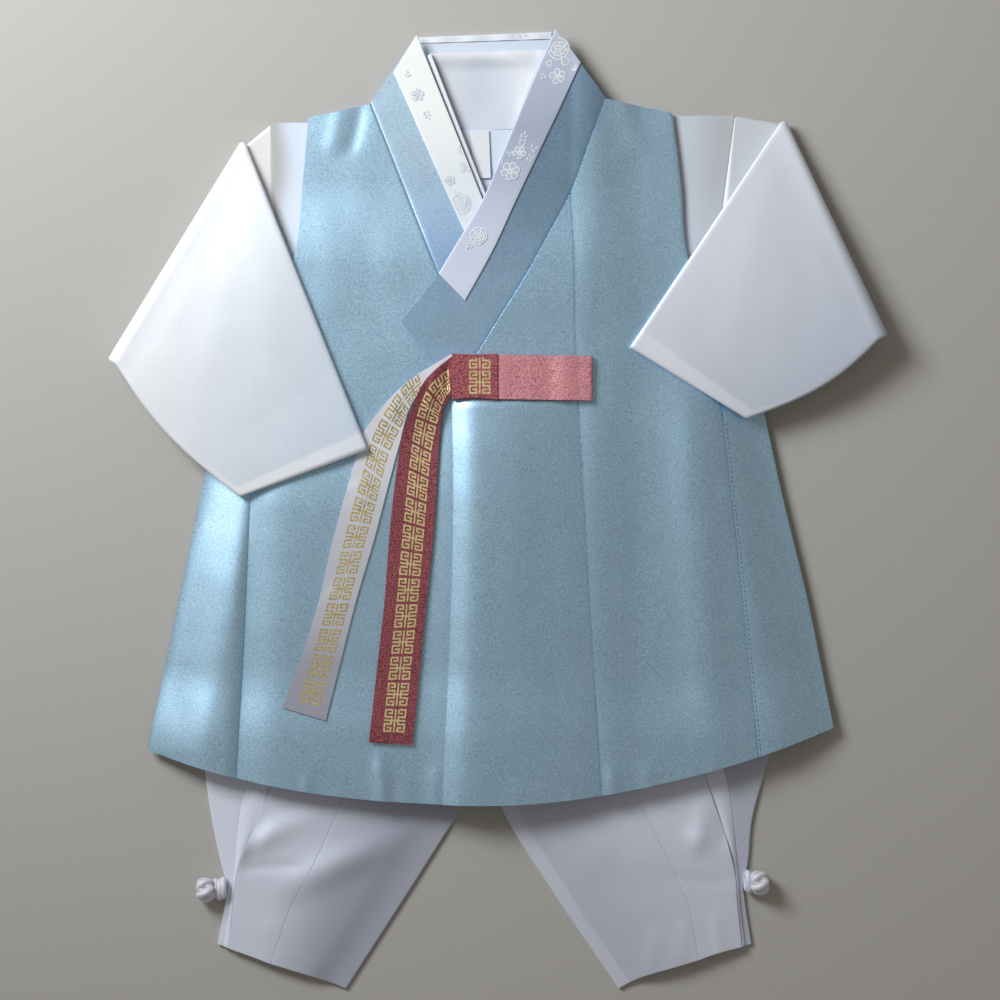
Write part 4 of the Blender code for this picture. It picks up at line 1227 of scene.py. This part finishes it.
def make_sleeve(sleeve, material):
    half = SLEEVE_THICK / 2
    rows = sleeve_sections(sleeve)
    points = np.array([section(top, under, normal, half) for top, under, normal in rows])
    # Beside the armhole the tube follows its bed, and further out it lies straight.
    y = points[..., 1]
    high, low = sleeve.seam_top[1], sleeve.seam_under[1]
    straight = bed(high) + (bed(low) - bed(high)) * np.clip((high - y) / (high - low), 0, 1)
    row_number = np.arange(len(rows))[:, None]
    points[..., 2] += (bed(y) - straight) * ramp(row_number, OUT_ROWS, 0)
    columns = FLAT_COLUMNS + CAP_COLUMNS
    to_under = abs(np.arange(points.shape[1]) - FLAT_COLUMNS) % (2 * columns)
    width = lengths(points)[0][:, None] / 2
    under_gap = np.minimum(to_under, 2 * columns - to_under)[None, :] / columns * width
    # Creases, and a swell between the edges, on the part that lies uppermost.
    upper = row_number > FOLD_END - 2
    x, y = points[..., 0], points[..., 1]
    cuff_gap = np.cumsum(np.linalg.norm(np.diff(points[::-1, 0], axis=0), axis=1))
    cuff_gap = np.concatenate([[0], cuff_gap])[::-1][:, None]
    from_fold = np.maximum(cuff_gap[FOLD_END] - cuff_gap, 0)
    crease = 0.5 * relief(x, y, SLEEVE_CREASES) + rumple(x, y, 0.14)
    crease = crease + SLEEVE_SWELL * (1 - np.exp(-from_fold / 30))
    crease = crease * ramp(row_number, FOLD_END - 2, FOLD_END + 10)
    points[..., 2] += np.where(upper, crease, 0)
    across, down = lengths(points)
    bm, spots = grid_on(points)
    shade = bm.verts.layers.float.new("layers")
    # A whiter strip along the underarm and the cuff, where the edge is turned in.
    turned = np.maximum(ramp(under_gap, 13, 10), ramp(cuff_gap, 14, 11))
    # Painted light and shade on the part that shows: lighter upwards, and outwards lighter on the
    # left sleeve and darker on the right one.
    inner, outwards, upwards = sleeve.shade
    body = inner + outwards * (abs(x) - 110) / 100 + upwards * (y - 84) / 130
    lower = ramp(row_number, OUT_ROWS + 2, OUT_ROWS - 2)
    cover = np.clip(body + 0.4 * turned, 0, 1) * (1 - lower) - 0.5 * lower
    for vert, spot in zip(bm.verts, spots):
        vert[shade] = cover[spot]
    area = sum(face.calc_area() for face in bm.faces)
    bmesh.ops.remove_doubles(bm, verts=bm.verts, dist=0.01)
    name = f"jacket_sleeve_{sleeve.side}"
    piece = finish_mesh(name + "_cloth", bm, material)
    wall = piece.modifiers.new("wall", "SOLIDIFY")
    wall.thickness = SLEEVE_WALL * MM
    wall.offset = -1.0
    declare(piece, name, (across.max(), down.max()), area, ["vest_under_side"])


make_sleeve(SLEEVES[0], SILK_LIT)
make_sleeve(SLEEVES[1], SILK_SHADED)

# %% [markdown]
# ## Vest
#
# The vest is cut from flared gores. Its under front lies at the left with its side gore, and the
# over front crosses it with an overlap panel whose left edge is free. Each seam is pressed to the
# right: the left piece dips into it and the right one stands over it, which draws a dark line and
# a light one. A table holds the eight panels, a row for each.

# %% Vest body
SHOULDER_LEFT = (254.8, 264.0)
SHOULDER_RIGHT = (267.0, 258.0)
ARMPIT_LEFT = (114.0, 122.0)
ARMPIT_RIGHT = (125.0, 112.0)
OVERLAP_TOP = 204.5
COLLAR_INNER_LEFT = [(-52.5, 308.5), (-38.0, 272.5), (-23.5, 236.5), (-9.5, 201.5), (5.0, 166.0)]
COLLAR_OUTER_LEFT = [(-82.5, 264.5), (-70.1, 233.4), (-57.7, 202.2), (-45.4, 171.1), (-33.0, 140.0)]
COLLAR_INNER_RIGHT = [(37.5, 312.0), (22.0, 276.0), (6.5, 238.5), (-9.5, 201.5), (-24.0, 176.5),
                      (-38.0, 153.0), (-51.0, 136.0), (-62.5, 122.0)]
COLLAR_OUTER_RIGHT = [(70.0, 267.5), (59.5, 238.0), (48.0, 206.5), (32.0, 176.5), (17.0, 149.5),
                      (2.0, 125.5), (-12.5, 102.0), (-28.0, 76.0)]
STRIP_OUTER_LEFT = [(-67.5, 284.0), (-55.0, 256.0), (-42.5, 227.5), (-30.0, 199.5), (-14.0, 164.0)]
STRIP_OUTER_RIGHT = [(54.0, 290.0), (39.5, 258.5), (25.0, 228.0), (11.5, 199.5), (-3.0, 168.0),
                     (-21.0, 135.5)]
STRIP_POINTS = 6  # how many points of the right band's inner edge its white strip follows
STRIP_LIFT = CLOTH + 0.3
back_height = at_level(VEST_BACK)


def back_top(u):
    return np.interp(u, (0, 1 / 6, 5 / 6, 1), (*SHOULDER_LEFT, *SHOULDER_RIGHT))


def blue(node, place, rests_on, step=STEP, material=VEST_BLUE, **more):
    lay(node, place, material, "vest_crepe", rests_on, step=step, rim=PRESSED_RIM, dip=SEAM_DIP,
        **more)


collar_left = joined(collar_side(COLLAR_OUTER_LEFT), UNDER_EDGE, COLLAR_OUTER_LEFT[-1][1])
collar_right = joined(collar_side(COLLAR_OUTER_RIGHT[2:]), OVERLAP_EDGE, COLLAR_OUTER_RIGHT[-1][1])
over_left = joined(collar_side(COLLAR_OUTER_RIGHT[:3]), OVERLAP_SEAM, COLLAR_OUTER_RIGHT[2][1])
BACK_LIFT = 1.5  # how much shorter the back is than the front at the hem
Gore = namedtuple("Gore", "node left right top lift height rests_on step")
GORES = (
    Gore("vest_back", EDGE_LEFT, EDGE_RIGHT, back_top, BACK_LIFT, back_height,
         "trouser_left_front_inner", COARSE),
    Gore("vest_back_side_left", VEST_SIDE_LEFT, VEST_GORE_LEFT, ends(*ARMPIT_LEFT), BACK_LIFT,
         back_height, "trouser_left_outer", COARSE),
    Gore("vest_back_side_right", VEST_GORE_RIGHT, VEST_SIDE_RIGHT, ends(*ARMPIT_RIGHT), BACK_LIFT,
         back_height, "trouser_right_outer", COARSE),
    Gore("vest_under_front", EDGE_LEFT, collar_left, ends(*SHOULDER_LEFT), 0.0,
         vest_under_height, "jacket_under_front", STEP),
    Gore("vest_under_side", VEST_SIDE_LEFT, VEST_GORE_LEFT, ends(*ARMPIT_LEFT), 0.0,
         vest_under_height, "vest_back_side_left", STEP),
    Gore("vest_overlap", collar_right, OVERLAP_SEAM, ends(OVERLAP_TOP, OVERLAP_TOP), 0.0,
         vest_over_height, "vest_under_front", STEP),
    Gore("vest_over_front", over_left, EDGE_RIGHT, ends(*SHOULDER_RIGHT), 0.0,
         vest_over_height, "jacket_over_front", STEP),
    Gore("vest_over_side", VEST_GORE_RIGHT, VEST_SIDE_RIGHT, ends(*ARMPIT_RIGHT), 0.0,
         vest_over_height, "vest_back_side_right", STEP),
)
for gore in GORES:
    bottom = hem_between(gore.left, gore.right, gore.lift)
    place = panel(gore.left, gore.right, gore.top, bottom, gore.height)
    blue(gore.node, place, [gore.rests_on], gore.step)

# %% [markdown]
# ### Collar
#
# The collar is a blue band on each front and one round the back of the neck, cut across the grain.
# A narrower white strip is basted on top of each band, and it is changed when it is worn.

# %% Collar bands and strips
left_band_height = at_level(VEST_UNDER)


def left_strip_height(x, y):
    return left_band_height(x, y) + STRIP_LIFT


def right_strip_height(x, y):
    return vest_over_height(x, y) + STRIP_LIFT


def collar_back_height(x, y):
    return back_height(x, y) + 1.6 * ramp(y, 290, 302) - 0.8 * ramp(y, 297, 300)


blue("vest_collar_back", panel(line((306, -51), (264, -82)), line((308, 36), (266, 69)),
                               ends(304.0, 307.0), ends(264.6, 267.6), collar_back_height),
     [], step=3.0, material=COLLAR_PALE)
# Painted light and shade along each collar band: the left one grows lighter towards its top and the
# right one towards its tip.
blue("vest_collar_left", band(COLLAR_INNER_LEFT, COLLAR_OUTER_LEFT, left_band_height),
     ["jacket_collar_left"], material=COLLAR_LIT, layers=lambda x, y, edge: ramp(y, 150, 240))
blue("vest_collar_right", band(COLLAR_INNER_RIGHT, COLLAR_OUTER_RIGHT, vest_over_height),
     ["jacket_collar_right"], material=COLLAR_SHADED, layers=lambda x, y, edge: ramp(y, 200, 125))
left_strip = band(COLLAR_INNER_LEFT, STRIP_OUTER_LEFT, left_strip_height)
right_strip = band(COLLAR_INNER_RIGHT[:STRIP_POINTS], STRIP_OUTER_RIGHT, right_strip_height)
# Painted light and shade along each strip: the left one grows lighter towards its top, and the
# right one is darkest above its middle and lightest at its tip.
RIGHT_STRIP_PAINTED_LIGHT = ((150, 200, 247, 290, 312), (1.0, 0.62, 0.3, 0.55, 0.7))
STRIP_RIM = {"wall": RIBBON_WALL, "rim": 0.5, "share": 0.7}
lay("vest_strip_left", left_strip, STRIP_LIT, "white_brocade", ["vest_collar_left"],
    layers=lambda x, y, edge: 0.5 + 0.5 * ramp(y, 185, 270), **STRIP_RIM)
lay("vest_strip_right", right_strip, STRIP_SHADED, "white_brocade", ["vest_collar_right"],
    layers=lambda x, y, edge: np.interp(y, *RIGHT_STRIP_PAINTED_LIGHT), **STRIP_RIM)

# %% [markdown]
# ### Neck strip
#
# Round the back of the neck the white strip is folded over the collar's top edge. Its place
# function walks up its inside, round the fold and down again.

# %% The strip round the back of the neck
NECK_ENDS = (-51.5, 35.2)
NECK_LOW, NECK_HIGH = (304.2, 307.2), (308.3, 311.8)
NECK_ROLL = 0.9  # radius of the fold


def neck_strip_place(u, v):
    """The strip is folded over the collar's edge: v runs round that fold, from its inside out."""
    x = NECK_ENDS[0] + (NECK_ENDS[1] - NECK_ENDS[0]) * u
    low = NECK_LOW[0] + (NECK_LOW[1] - NECK_LOW[0]) * u
    high = NECK_HIGH[0] + (NECK_HIGH[1] - NECK_HIGH[0]) * u - NECK_ROLL
    straight, bend = high - low, math.pi * NECK_ROLL
    distance = v * (2 * straight + bend)
    angle = np.clip((distance - straight) / NECK_ROLL, 0, math.pi)
    back = np.maximum(distance - straight - bend, 0)
    y = low + np.minimum(distance, straight) - back + NECK_ROLL * np.sin(angle)
    return x, y, NECK_ROLL * (1.1 - np.cos(angle)) + 0.7 + 0.2 * np.sin(0.3 * x)


fold_over("vest_strip_back", neck_strip_place, (40, 24), STRIP_NECK,
          ["vest_collar_back"], wall=0.5)

# %% [markdown]
# ### Woven flowers
#
# The strips carry sprigs of brocade: a peony, a five-petal blossom, leaves and buds. A petal is a
# circle that is wider at its outer end, raised by the height of a woven thread, with a smaller one
# of the petal's own colour on it, so that a bright line is left round it. Later petals lie a
# little higher, so they overlap like those of a real flower.

# %% Brocade sprigs
THREAD = 0.03  # height of the outline over the satin
PETAL_RISE = 0.003  # height of the petal over its outline
NEXT_PETAL = 0.006  # how much higher each petal lies than the one before
PETAL_SIDES = 14


class Sprig:
    """Flat flowers drawn into one mesh: outline in the first material, petal in the second."""

    def __init__(self):
        self.bm = bmesh.new()
        self.count = 0

    def disc(self, x, y, long, wide, turn, broad, lift, index):
        """One low disc. Broad is how much wider its outer half is, and -1 makes a pointed leaf."""
        cosine, sine = math.cos(turn), math.sin(turn)
        verts = []
        for i in range(PETAL_SIDES):
            angle = 2 * math.pi * i / PETAL_SIDES
            across = math.sin(angle)
            across = across * (1 + broad * math.cos(angle)) if broad >= 0 else across**3
            a, b = math.cos(angle) * long / 2, across * wide / 2
            spot = (x + a * cosine - b * sine, y + a * sine + b * cosine, lift - THREAD)
            verts.append(self.bm.verts.new(spot))
        face = self.bm.faces.new(verts)
        face.material_index = index
        raised = bmesh.ops.extrude_face_region(self.bm, geom=[face])["geom"]
        top = [item for item in raised if isinstance(item, bmesh.types.BMVert)]
        bmesh.ops.translate(self.bm, verts=top, vec=(0, 0, THREAD))

    def petal(self, x, y, long, wide, turn, broad=0.35, line_width=0.5):
        self.count += 1
        lift = THREAD + NEXT_PETAL * self.count
        self.disc(x, y, long, wide, turn, broad, lift, 0)
        if min(long, wide) > 2.4 * line_width:
            long, wide = long - 2 * line_width, wide - 2 * line_width
            self.disc(x, y, long, wide, turn, broad, lift + PETAL_RISE, 1)

    def ring(self, x, y, radius, count, turn, reach, long, wide):
        for i in range(count):
            angle = turn + 2 * math.pi * i / count + 0.12 * math.sin(5 * i)
            spread_out = reach * radius * (1 + 0.08 * math.sin(3 * i + turn))
            self.petal(x + spread_out * math.cos(angle), y + spread_out * math.sin(angle),
                       long * radius, wide * radius, angle)

    def peony(self, x, y, radius, turn=0.0):
        """Three rings of broad petals round a bud."""
        self.ring(x, y, radius, 7, turn, 0.62, 0.72, 0.92)
        self.ring(x, y, radius, 5, turn + 0.5, 0.36, 0.56, 0.66)
        self.ring(x, y, radius, 3, turn + 0.2, 0.16, 0.38, 0.44)

    def blossom(self, x, y, radius, turn=0.0, petals=5):
        """Round petals about a small eye."""
        self.ring(x, y, radius, petals, turn, 0.58, 0.84, 0.72)
        self.petal(x, y, 0.42 * radius, 0.42 * radius, 0.0, broad=0.0)

    def leaf(self, x, y, long, turn, share=0.42):
        self.petal(x, y, long, share * long, turn, broad=-1, line_width=0.32)

    def spray(self, x, y, turn, pairs, size):
        """Pairs of leaves along a stem, and one at its end."""
        for i in range(pairs):
            sx, sy = x + i * size * 0.75 * math.cos(turn), y + i * size * 0.75 * math.sin(turn)
            for side in (-1, 1):
                lean = turn + side * 0.85
                out = 0.55 * size
                self.leaf(sx + out * math.cos(lean), sy + out * math.sin(lean), size, lean)
        tip = pairs * size * 0.75 + 0.3 * size
        self.leaf(x + tip * math.cos(turn), y + tip * math.sin(turn), size, turn)

    def lay(self, name, height, outline, petal, inside):
        """Lays the drawing on cloth whose underside has that height, trimmed by inside(x, y)."""
        outer = [v for v in self.bm.verts if not inside(v.co.x, v.co.y)]
        bmesh.ops.delete(self.bm, geom=outer, context="VERTS")
        for vert in self.bm.verts:
            x, y, z = vert.co
            vert.co.z = z + float(height(x, y)) + RIBBON_WALL
        piece = finish_mesh(name, self.bm, outline, smooth=False)
        piece.data.materials.append(petal)
        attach(piece, "root")
        print(f"{name}: {len(piece.data.polygons)} faces")


right = Sprig()
right.spray(51.0, 289.6, -0.9, 1, 3.6)
right.blossom(50.4, 285.0, 2.6, 0.4)
right.peony(39.3, 299.0, 7.4, 0.3)
right.petal(43.6, 291.2, 6.4, 5.2, -1.1)
right.petal(33.6, 289.6, 4.4, 4.0, -2.2)
right.spray(30.6, 282.4, -2.1, 1, 3.0)
right.blossom(38.9, 281.0, 5.3, 0.5)
right.spray(15.5, 236.0, 1.3, 3, 3.4)
right.spray(21.5, 234.0, 0.2, 1, 3.6)
right.spray(19.0, 229.0, -0.5, 2, 3.0)
right.spray(9.5, 230.0, 2.6, 1, 2.8)
right.blossom(14.2, 231.6, 4.6, 0.9)
right.blossom(8.3, 219.6, 6.2, 0.2, 6)
right.spray(3.2, 224.0, 2.4, 1, 2.6)
right.peony(-12.2, 177.4, 5.8, 0.1)
right.spray(-17.4, 171.8, -2.3, 1, 2.8)

left = Sprig()
left.spray(-28.0, 204.5, 0.4, 1, 3.0)
left.peony(-23.6, 198.2, 7.0, 0.5)
left.blossom(-20.6, 222.6, 4.4, 0.1)
left.spray(-22.6, 231.0, 2.0, 2, 2.8)
left.blossom(-30.8, 213.8, 3.4, 0.7)
left.blossom(-52.0, 269.4, 4.4, 0.3)
left.spray(-47.0, 258.8, -1.1, 2, 3.0)
left.spray(-58.8, 281.0, 1.5, 1, 3.0)

neck = Sprig()
for i, x in enumerate((5.0, 9.6, 13.8, 18.4)):
    neck.petal(x, 308.7 + 0.04 * x, 3.6, 1.7, 0.4 + 0.9 * i)


def inside_band(first, second, margin=0.5):
    """Whether a point lies between two edges of a strip."""
    a, b = collar_side(first), collar_side(second)
    return lambda x, y: min(a(y), b(y)) + margin < x < max(a(y), b(y)) - margin


right.lay("brocade_right", right_strip_height, OUTLINE_RIGHT, PETAL_RIGHT,
          inside_band(COLLAR_INNER_RIGHT[:STRIP_POINTS], STRIP_OUTER_RIGHT))
left.lay("brocade_left", left_strip_height, OUTLINE_LEFT, PETAL_LEFT,
         inside_band(COLLAR_INNER_LEFT, STRIP_OUTER_LEFT))
NECK_STRIP_HEIGHT = 1.85
neck.lay("brocade_neck", lambda x, y: back_height(x, y) + NECK_STRIP_HEIGHT, OUTLINE_LEFT,
         PETAL_LEFT, lambda x, y: True)

# %% [markdown]
# ### Stitches
#
# The right gore is topstitched by hand: a row of short running stitches beside the seam. One
# stitch is a small cube with bevelled edges, and a loop repeats it down the line.

# %% Running stitches
STITCH = (0.45, 2.0, 0.35)
STITCH_PITCH = 3.1


def running_stitches(name, seam, height, top, bottom, beside):
    bm = bmesh.new()
    y = top
    while y > bottom:
        x = float(seam(y)) + beside
        lean = math.atan2(float(seam(y + 2)) - float(seam(y - 2)), 4.0)
        place = Matrix.Translation((x, y, float(height(x, y)) + WALL))
        matrix = place @ Matrix.Rotation(-lean, 4, "Z") @ Matrix.Diagonal((*STITCH, 1.0))
        bmesh.ops.create_cube(bm, size=1.0, matrix=matrix)
        y -= STITCH_PITCH
    bmesh.ops.bevel(bm, geom=bm.edges[:], offset=0.12, segments=1, profile=0.5, affect="EDGES",
                    material=-1)
    piece = finish_mesh(name, bm, BLUE_THREAD)
    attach(piece, "root")
    print(f"{name}: {len(piece.data.polygons)} faces")


running_stitches("stitches_right_gore", VEST_GORE_RIGHT, vest_over_height, top=56, bottom=-158,
                 beside=1.7)

# %% [markdown]
# ## Tie
#
# The tie is two ribbons sewn to the over front. They are knotted once, a loop of the rose one is
# drawn out to the right, and both tails hang down to the left, the silver one under the rose one.
# Their gold print is a squared fret, charted below as cells: a grid the size of the chart loses
# its empty cells, and what is left is raised by the thickness of the print.

# %% Ribbons
KNOT_LEFT, KNOT_RIGHT = -29.4, 0.0
KNOT_BOTTOM, KNOT_TOP = 71.5, 101.0
KNOT_THICK = 6.5
LOOP_END = 62.0
LOOP_BOTTOM, TIE_WIDTH = 71.7, 28.6
LOOP_RADIUS = 1.7
PINK_EDGES = (
    [(-29.2, 99.5), (-46.5, 84.0), (-57.0, 62.0), (-63.0, 41.0), (-69.0, -7.0), (-73.0, -58.5),
     (-78.0, -104.0), (-83.0, -150.0)],
    [(-29.2, 74.5), (-34.2, 67.0), (-36.9, 54.0), (-38.8, 28.0), (-41.5, -14.5), (-46.0, -58.5),
     (-50.5, -104.0), (-55.0, -151.5)],
)
SILVER_EDGES = (
    [(-29.4, 101.0), (-60.0, 81.5), (-85.0, 53.0), (-93.0, 29.0), (-106.5, -19.5), (-115.5, -58.5),
     (-127.0, -95.0), (-139.0, -127.5)],
    [(-29.4, 99.4), (-54.5, 70.5), (-64.0, 41.0), (-71.5, 13.0), (-80.0, -19.5), (-91.5, -58.5),
     (-101.5, -98.0), (-111.0, -136.0)],
)
SILVER_LIFT = 0.6
TIE_CREASES = creases(
    (-32.5, 98, -33, 74, 0, 2.2, -1.2),
    (-40, 92, -48, 58, 1, 3.2, 0.9),
    (-60, 84, -74, 52, 2, 4.0, 0.6),
    (-94, 20, -84, 2, 0, 6.0, 0.5),
    (-112, -50, -92, -64, 0, 6.0, 0.5),
    (-70, -40, -44, -56, 0, 7.0, 0.35),
)
KNOT_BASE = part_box("tie_knot")[0].z / MM
KNOT_WALL = KNOT_THICK - 0.4


def silver_height(x, y):
    """The silver tail lies on the vest and rises to the knot, under the rose one."""
    rise = 5.0 * ramp(y, 40, 95)
    return vest_under_height(x, y) + CLOTH + SILVER_LIFT + rise + relief(x, y, TIE_CREASES)


def pink_height(x, y):
    rise = 5.2 * ramp(y, 40, 95)
    lift = 2 * CLOTH + REST + SILVER_LIFT + rise
    return vest_under_height(x, y) + lift + relief(x, y, TIE_CREASES)


def knot_place(u, v):
    """The knot's face: pulled in at its middle, and lower towards its left and right folds."""
    x = KNOT_LEFT + (KNOT_RIGHT - KNOT_LEFT) * u
    waist = 1.1 * np.sin(np.pi * u)
    y = (KNOT_TOP - 0.5 * waist) * (1 - v) + (KNOT_BOTTOM + waist) * v
    return x, y, KNOT_BASE + 0.0 * x


def loop_place(u, v):
    """The loop seen from its edge: out from the knot, round its fold and back. v runs along it."""
    start, turn = KNOT_RIGHT + 0.3, LOOP_END - LOOP_RADIUS - RIBBON_WALL / 2
    straight, bend = turn - start, math.pi * LOOP_RADIUS
    distance = v * (2 * straight + bend)
    angle = np.clip((distance - straight) / LOOP_RADIUS, 0, math.pi)
    back = np.maximum(distance - straight - bend, 0)
    x = start + np.minimum(distance, straight) - back + LOOP_RADIUS * np.sin(angle)
    z = KNOT_BASE + RIBBON_WALL + LOOP_RADIUS * (1.3 - np.cos(angle))
    sag = 0.4 * np.sin(0.16 * x) + 0.3 * np.sin(0.3 * x + 1.0)
    y = LOOP_BOTTOM + TIE_WIDTH * u - 0.8 * (x / LOOP_END)
    return x, y, z + np.where(angle > math.pi / 2, sag * ramp(back, 0, 12), 0)


pink_tail = band(*PINK_EDGES, pink_height)
silver_tail = band(*SILVER_EDGES, silver_height)
# Painted light and shade along each tail: the rose one is darkest just below the knot, a painted
# shadow of it, and the silver one darkens towards its end.
ROSE_PAINTED_LIGHT = ((-150, -60, 0, 60, 80, 100), (0.52, 0.62, 0.55, 0.42, 0.3, 0.6))
SILVER_PAINTED_LIGHT = ((-135, -100, -60, -40, 10, 60, 95), (0.25, 0.32, 0.62, 0.6, 0.75, 0.95, 1.0))
lay("tie_tail_silver", silver_tail, SILVER, "silver_ribbon", ["vest_under_front"], step=1.6,
    wall=RIBBON_WALL, layers=lambda x, y, edge: np.interp(y, *SILVER_PAINTED_LIGHT))
lay("tie_tail_pink", pink_tail, ROSE, "rose_ribbon", ["tie_tail_silver"], step=1.6,
    wall=RIBBON_WALL, layers=lambda x, y, edge: np.interp(y, *ROSE_PAINTED_LIGHT))
lay("tie_knot", knot_place, ROSE, "rose_ribbon", ["vest_over_front"], step=1.5,
    wall=KNOT_WALL, rim=2.4)
fold_over("tie_loop", loop_place, (22, 90), ROSE_LOOP, ["vest_over_front"],
          RIBBON_WALL)

# %% [markdown]
# ### Gold frets
#
# One fret is charted as rows of cells. It is laid again and again along each tail, always the same
# distance apart, and once and a half on the knot.

# %% The gold fret
FRET = (
    "#####.#.#####",
    "#...#.#.#...#",
    "#.###.#.###.#",
    "#.....#.....#",
    "#####.#.#####",
    "....#.#.#....",
    "#############",
    "....#.#.#....",
    "#####.#.#####",
    "#.....#.....#",
    "#.###.#.###.#",
    "#...#.#.#...#",
    "#####.#.#####",
)
FRET_SIZE = (13.8, 15.0)
SILVER_PITCH = 17.35
PINK_PITCH = 16.95
LAST_FRET = 15.0  # from the middle of the last fret to the end of its tail
PRINT_THICK = 0.08
PRINT_SUNK = 0.03  # how far the print's underside lies in the ribbon


def fret_cells(rows=FRET):
    """The chart as raised cells, in a square from -0.5 to 0.5."""
    count = len(FRET)
    bm = bmesh.new()
    bmesh.ops.create_grid(bm, x_segments=count, y_segments=count, size=0.5)
    empty = []
    for face in bm.faces:
        middle = face.calc_center_median()
        column, row = int((middle.x + 0.5) * count), int((0.5 - middle.y) * count)
        if rows[row][column] != "#":
            empty.append(face)
    bmesh.ops.delete(bm, geom=empty, context="FACES")
    raised = bmesh.ops.extrude_face_region(bm, geom=bm.faces[:])["geom"]
    top = [item for item in raised if isinstance(item, bmesh.types.BMVert)]
    bmesh.ops.translate(bm, verts=top, vec=(0, 0, PRINT_THICK))
    return bm


def print_frets(name, on_ribbon, spots, material, rows=FRET):
    """Lays one fret at each spot. on_ribbon(across, along) gives a point in millimetres."""
    whole = bmesh.new()
    for centre_across, centre_along in spots:
        bm = fret_cells(rows)
        for vert in bm.verts:
            a = centre_across + vert.co.x * FRET_SIZE[0]
            s = centre_along - vert.co.y * FRET_SIZE[1]
            vert.co = Vector(on_ribbon(a, s)) + Vector((0, 0, vert.co.z))
        mesh = bpy.data.meshes.new("fret")
        bm.to_mesh(mesh)
        bm.free()
        whole.from_mesh(mesh)
    piece = finish_mesh(name, whole, material, smooth=False)
    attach(piece, "root")
    print(f"{name}: {len(spots)} frets, {len(piece.data.polygons)} faces")


def tail_surface(place, wall):
    """Turns mm across and mm along a tail into a point on its face."""
    vs = np.linspace(0, 1, 200)
    middle = points_of(place, np.array([0.5]), vs)[:, 0]
    run = np.concatenate([[0], np.cumsum(np.linalg.norm(np.diff(middle, axis=0), axis=1))])
    sides = points_of(place, np.array([0.0, 1.0]), vs)
    width = np.linalg.norm(sides[:, 1] - sides[:, 0], axis=1)

    def point(across, distance):
        v = np.interp(distance, run, vs)
        u = np.clip(across / np.interp(distance, run, width) + 0.5, 0.02, 0.98)
        x, y, z = place(np.array(u), np.array(v))
        return float(x), float(y), float(z) + wall - PRINT_SUNK

    return point, run[-1]


pink_point, pink_length = tail_surface(pink_tail, RIBBON_WALL)
silver_point, silver_length = tail_surface(silver_tail, RIBBON_WALL)
pink_spots = [(1.2, pink_length - LAST_FRET - PINK_PITCH * i) for i in range(14)]
silver_spots = [(1.0, silver_length - LAST_FRET - SILVER_PITCH * i) for i in range(13)]
print_frets("frets_pink", pink_point, pink_spots, GOLD)
print_frets("frets_silver", silver_point, silver_spots, DULL_GOLD)


def knot_point(across, distance):
    return across, KNOT_TOP - distance, KNOT_BASE + KNOT_THICK - 0.45


half_rows = ("." * len(FRET[0]),) * 7 + FRET[7:]
print_frets("frets_knot", knot_point, [(-11.5, 18.5)], GOLD)
print_frets("frets_knot_half", knot_point, [(-11.5, 2.2)], GOLD, half_rows)

# %% [markdown]
# ## Floor, light and camera
#
# The set lies on a plain pale surface. One large soft lamp stands near its upper left corner, so
# the light falls off across the set and every edge throws a soft shadow to the lower right. A
# faint world light fills the shadows. The camera looks straight down.

# %% Studio


def floor_finish():
    finish = {"Roughness": 0.85, "Specular IOR Level": 0.2}
    material, tree, shader = new_cloth("pale painted board", finish)
    speck = grain(tree, 0.0, (1.0, 1.0), 1 / (3.0 * MM))
    values = {"Value": (speck, "Fac"), "To Min": 0.97, "To Max": 1.03}
    uneven = add(tree, "ShaderNodeMapRange", inputs=values)
    paint = add(tree, "ShaderNodeRGB")
    paint.outputs[0].default_value = linear("BCBAB6")
    colour = scaled(tree, (paint, 0), (uneven, "Result"))
    tree.links.new(colour.outputs["Vector"], shader.inputs["Base Color"])
    rough_up(tree, shader, (speck, "Fac"), 0.02)
    return material


floor_bm = bmesh.new()
bmesh.ops.create_grid(floor_bm, x_segments=1, y_segments=1, size=2500)
bmesh.ops.translate(floor_bm, verts=floor_bm.verts, vec=(0, 0, -0.1))
floor = finish_mesh("floor", floor_bm, floor_finish())
floor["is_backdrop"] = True

LAMP_PLACE = Vector((-0.8, 0.74, 0.9))
LAMP_AIM = Vector((0.3, 0.8, 0.0))
LAMP_SIZE = 0.6
LAMP_WATTS = 20.0
lamp_data = bpy.data.lights.new("soft window", "AREA")
lamp_data.shape = "SQUARE"
lamp_data.size = LAMP_SIZE
lamp_data.energy = LAMP_WATTS
lamp_data.color = (0.955, 0.98, 1.0)
lamp = bpy.data.objects.new("soft window", lamp_data)
lamp.location = LAMP_PLACE
lamp.rotation_euler = (LAMP_AIM - LAMP_PLACE).to_track_quat("-Z", "Y").to_euler()
bpy.context.scene.collection.objects.link(lamp)

world = bpy.data.worlds.new("room")
world.use_nodes = True
background = world.node_tree.nodes["Background"]
background.inputs["Color"].default_value = (1.0, 0.93, 0.83, 1.0)
background.inputs["Strength"].default_value = 0.22
bpy.context.scene.world = world
bpy.context.scene.view_settings.view_transform = "Standard"

# The camera stands high over the set with a long lens, so heights hardly shift what it sees.
CAMERA_HEIGHT = 1.808
CAMERA_LENS = 99.7
CAMERA_AIM = (0.0016, 0.0065)
camera_data = bpy.data.cameras.new("camera")
camera_data.lens = CAMERA_LENS
camera = bpy.data.objects.new("camera", camera_data)
camera.location = (*CAMERA_AIM, CAMERA_HEIGHT)
bpy.context.scene.collection.objects.link(camera)
bpy.context.scene.camera = camera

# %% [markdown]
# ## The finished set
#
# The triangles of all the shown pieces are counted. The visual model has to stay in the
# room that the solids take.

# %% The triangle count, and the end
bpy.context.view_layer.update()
triangles = sum(len(p.vertices) - 2 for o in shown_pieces() for p in o.data.polygons)
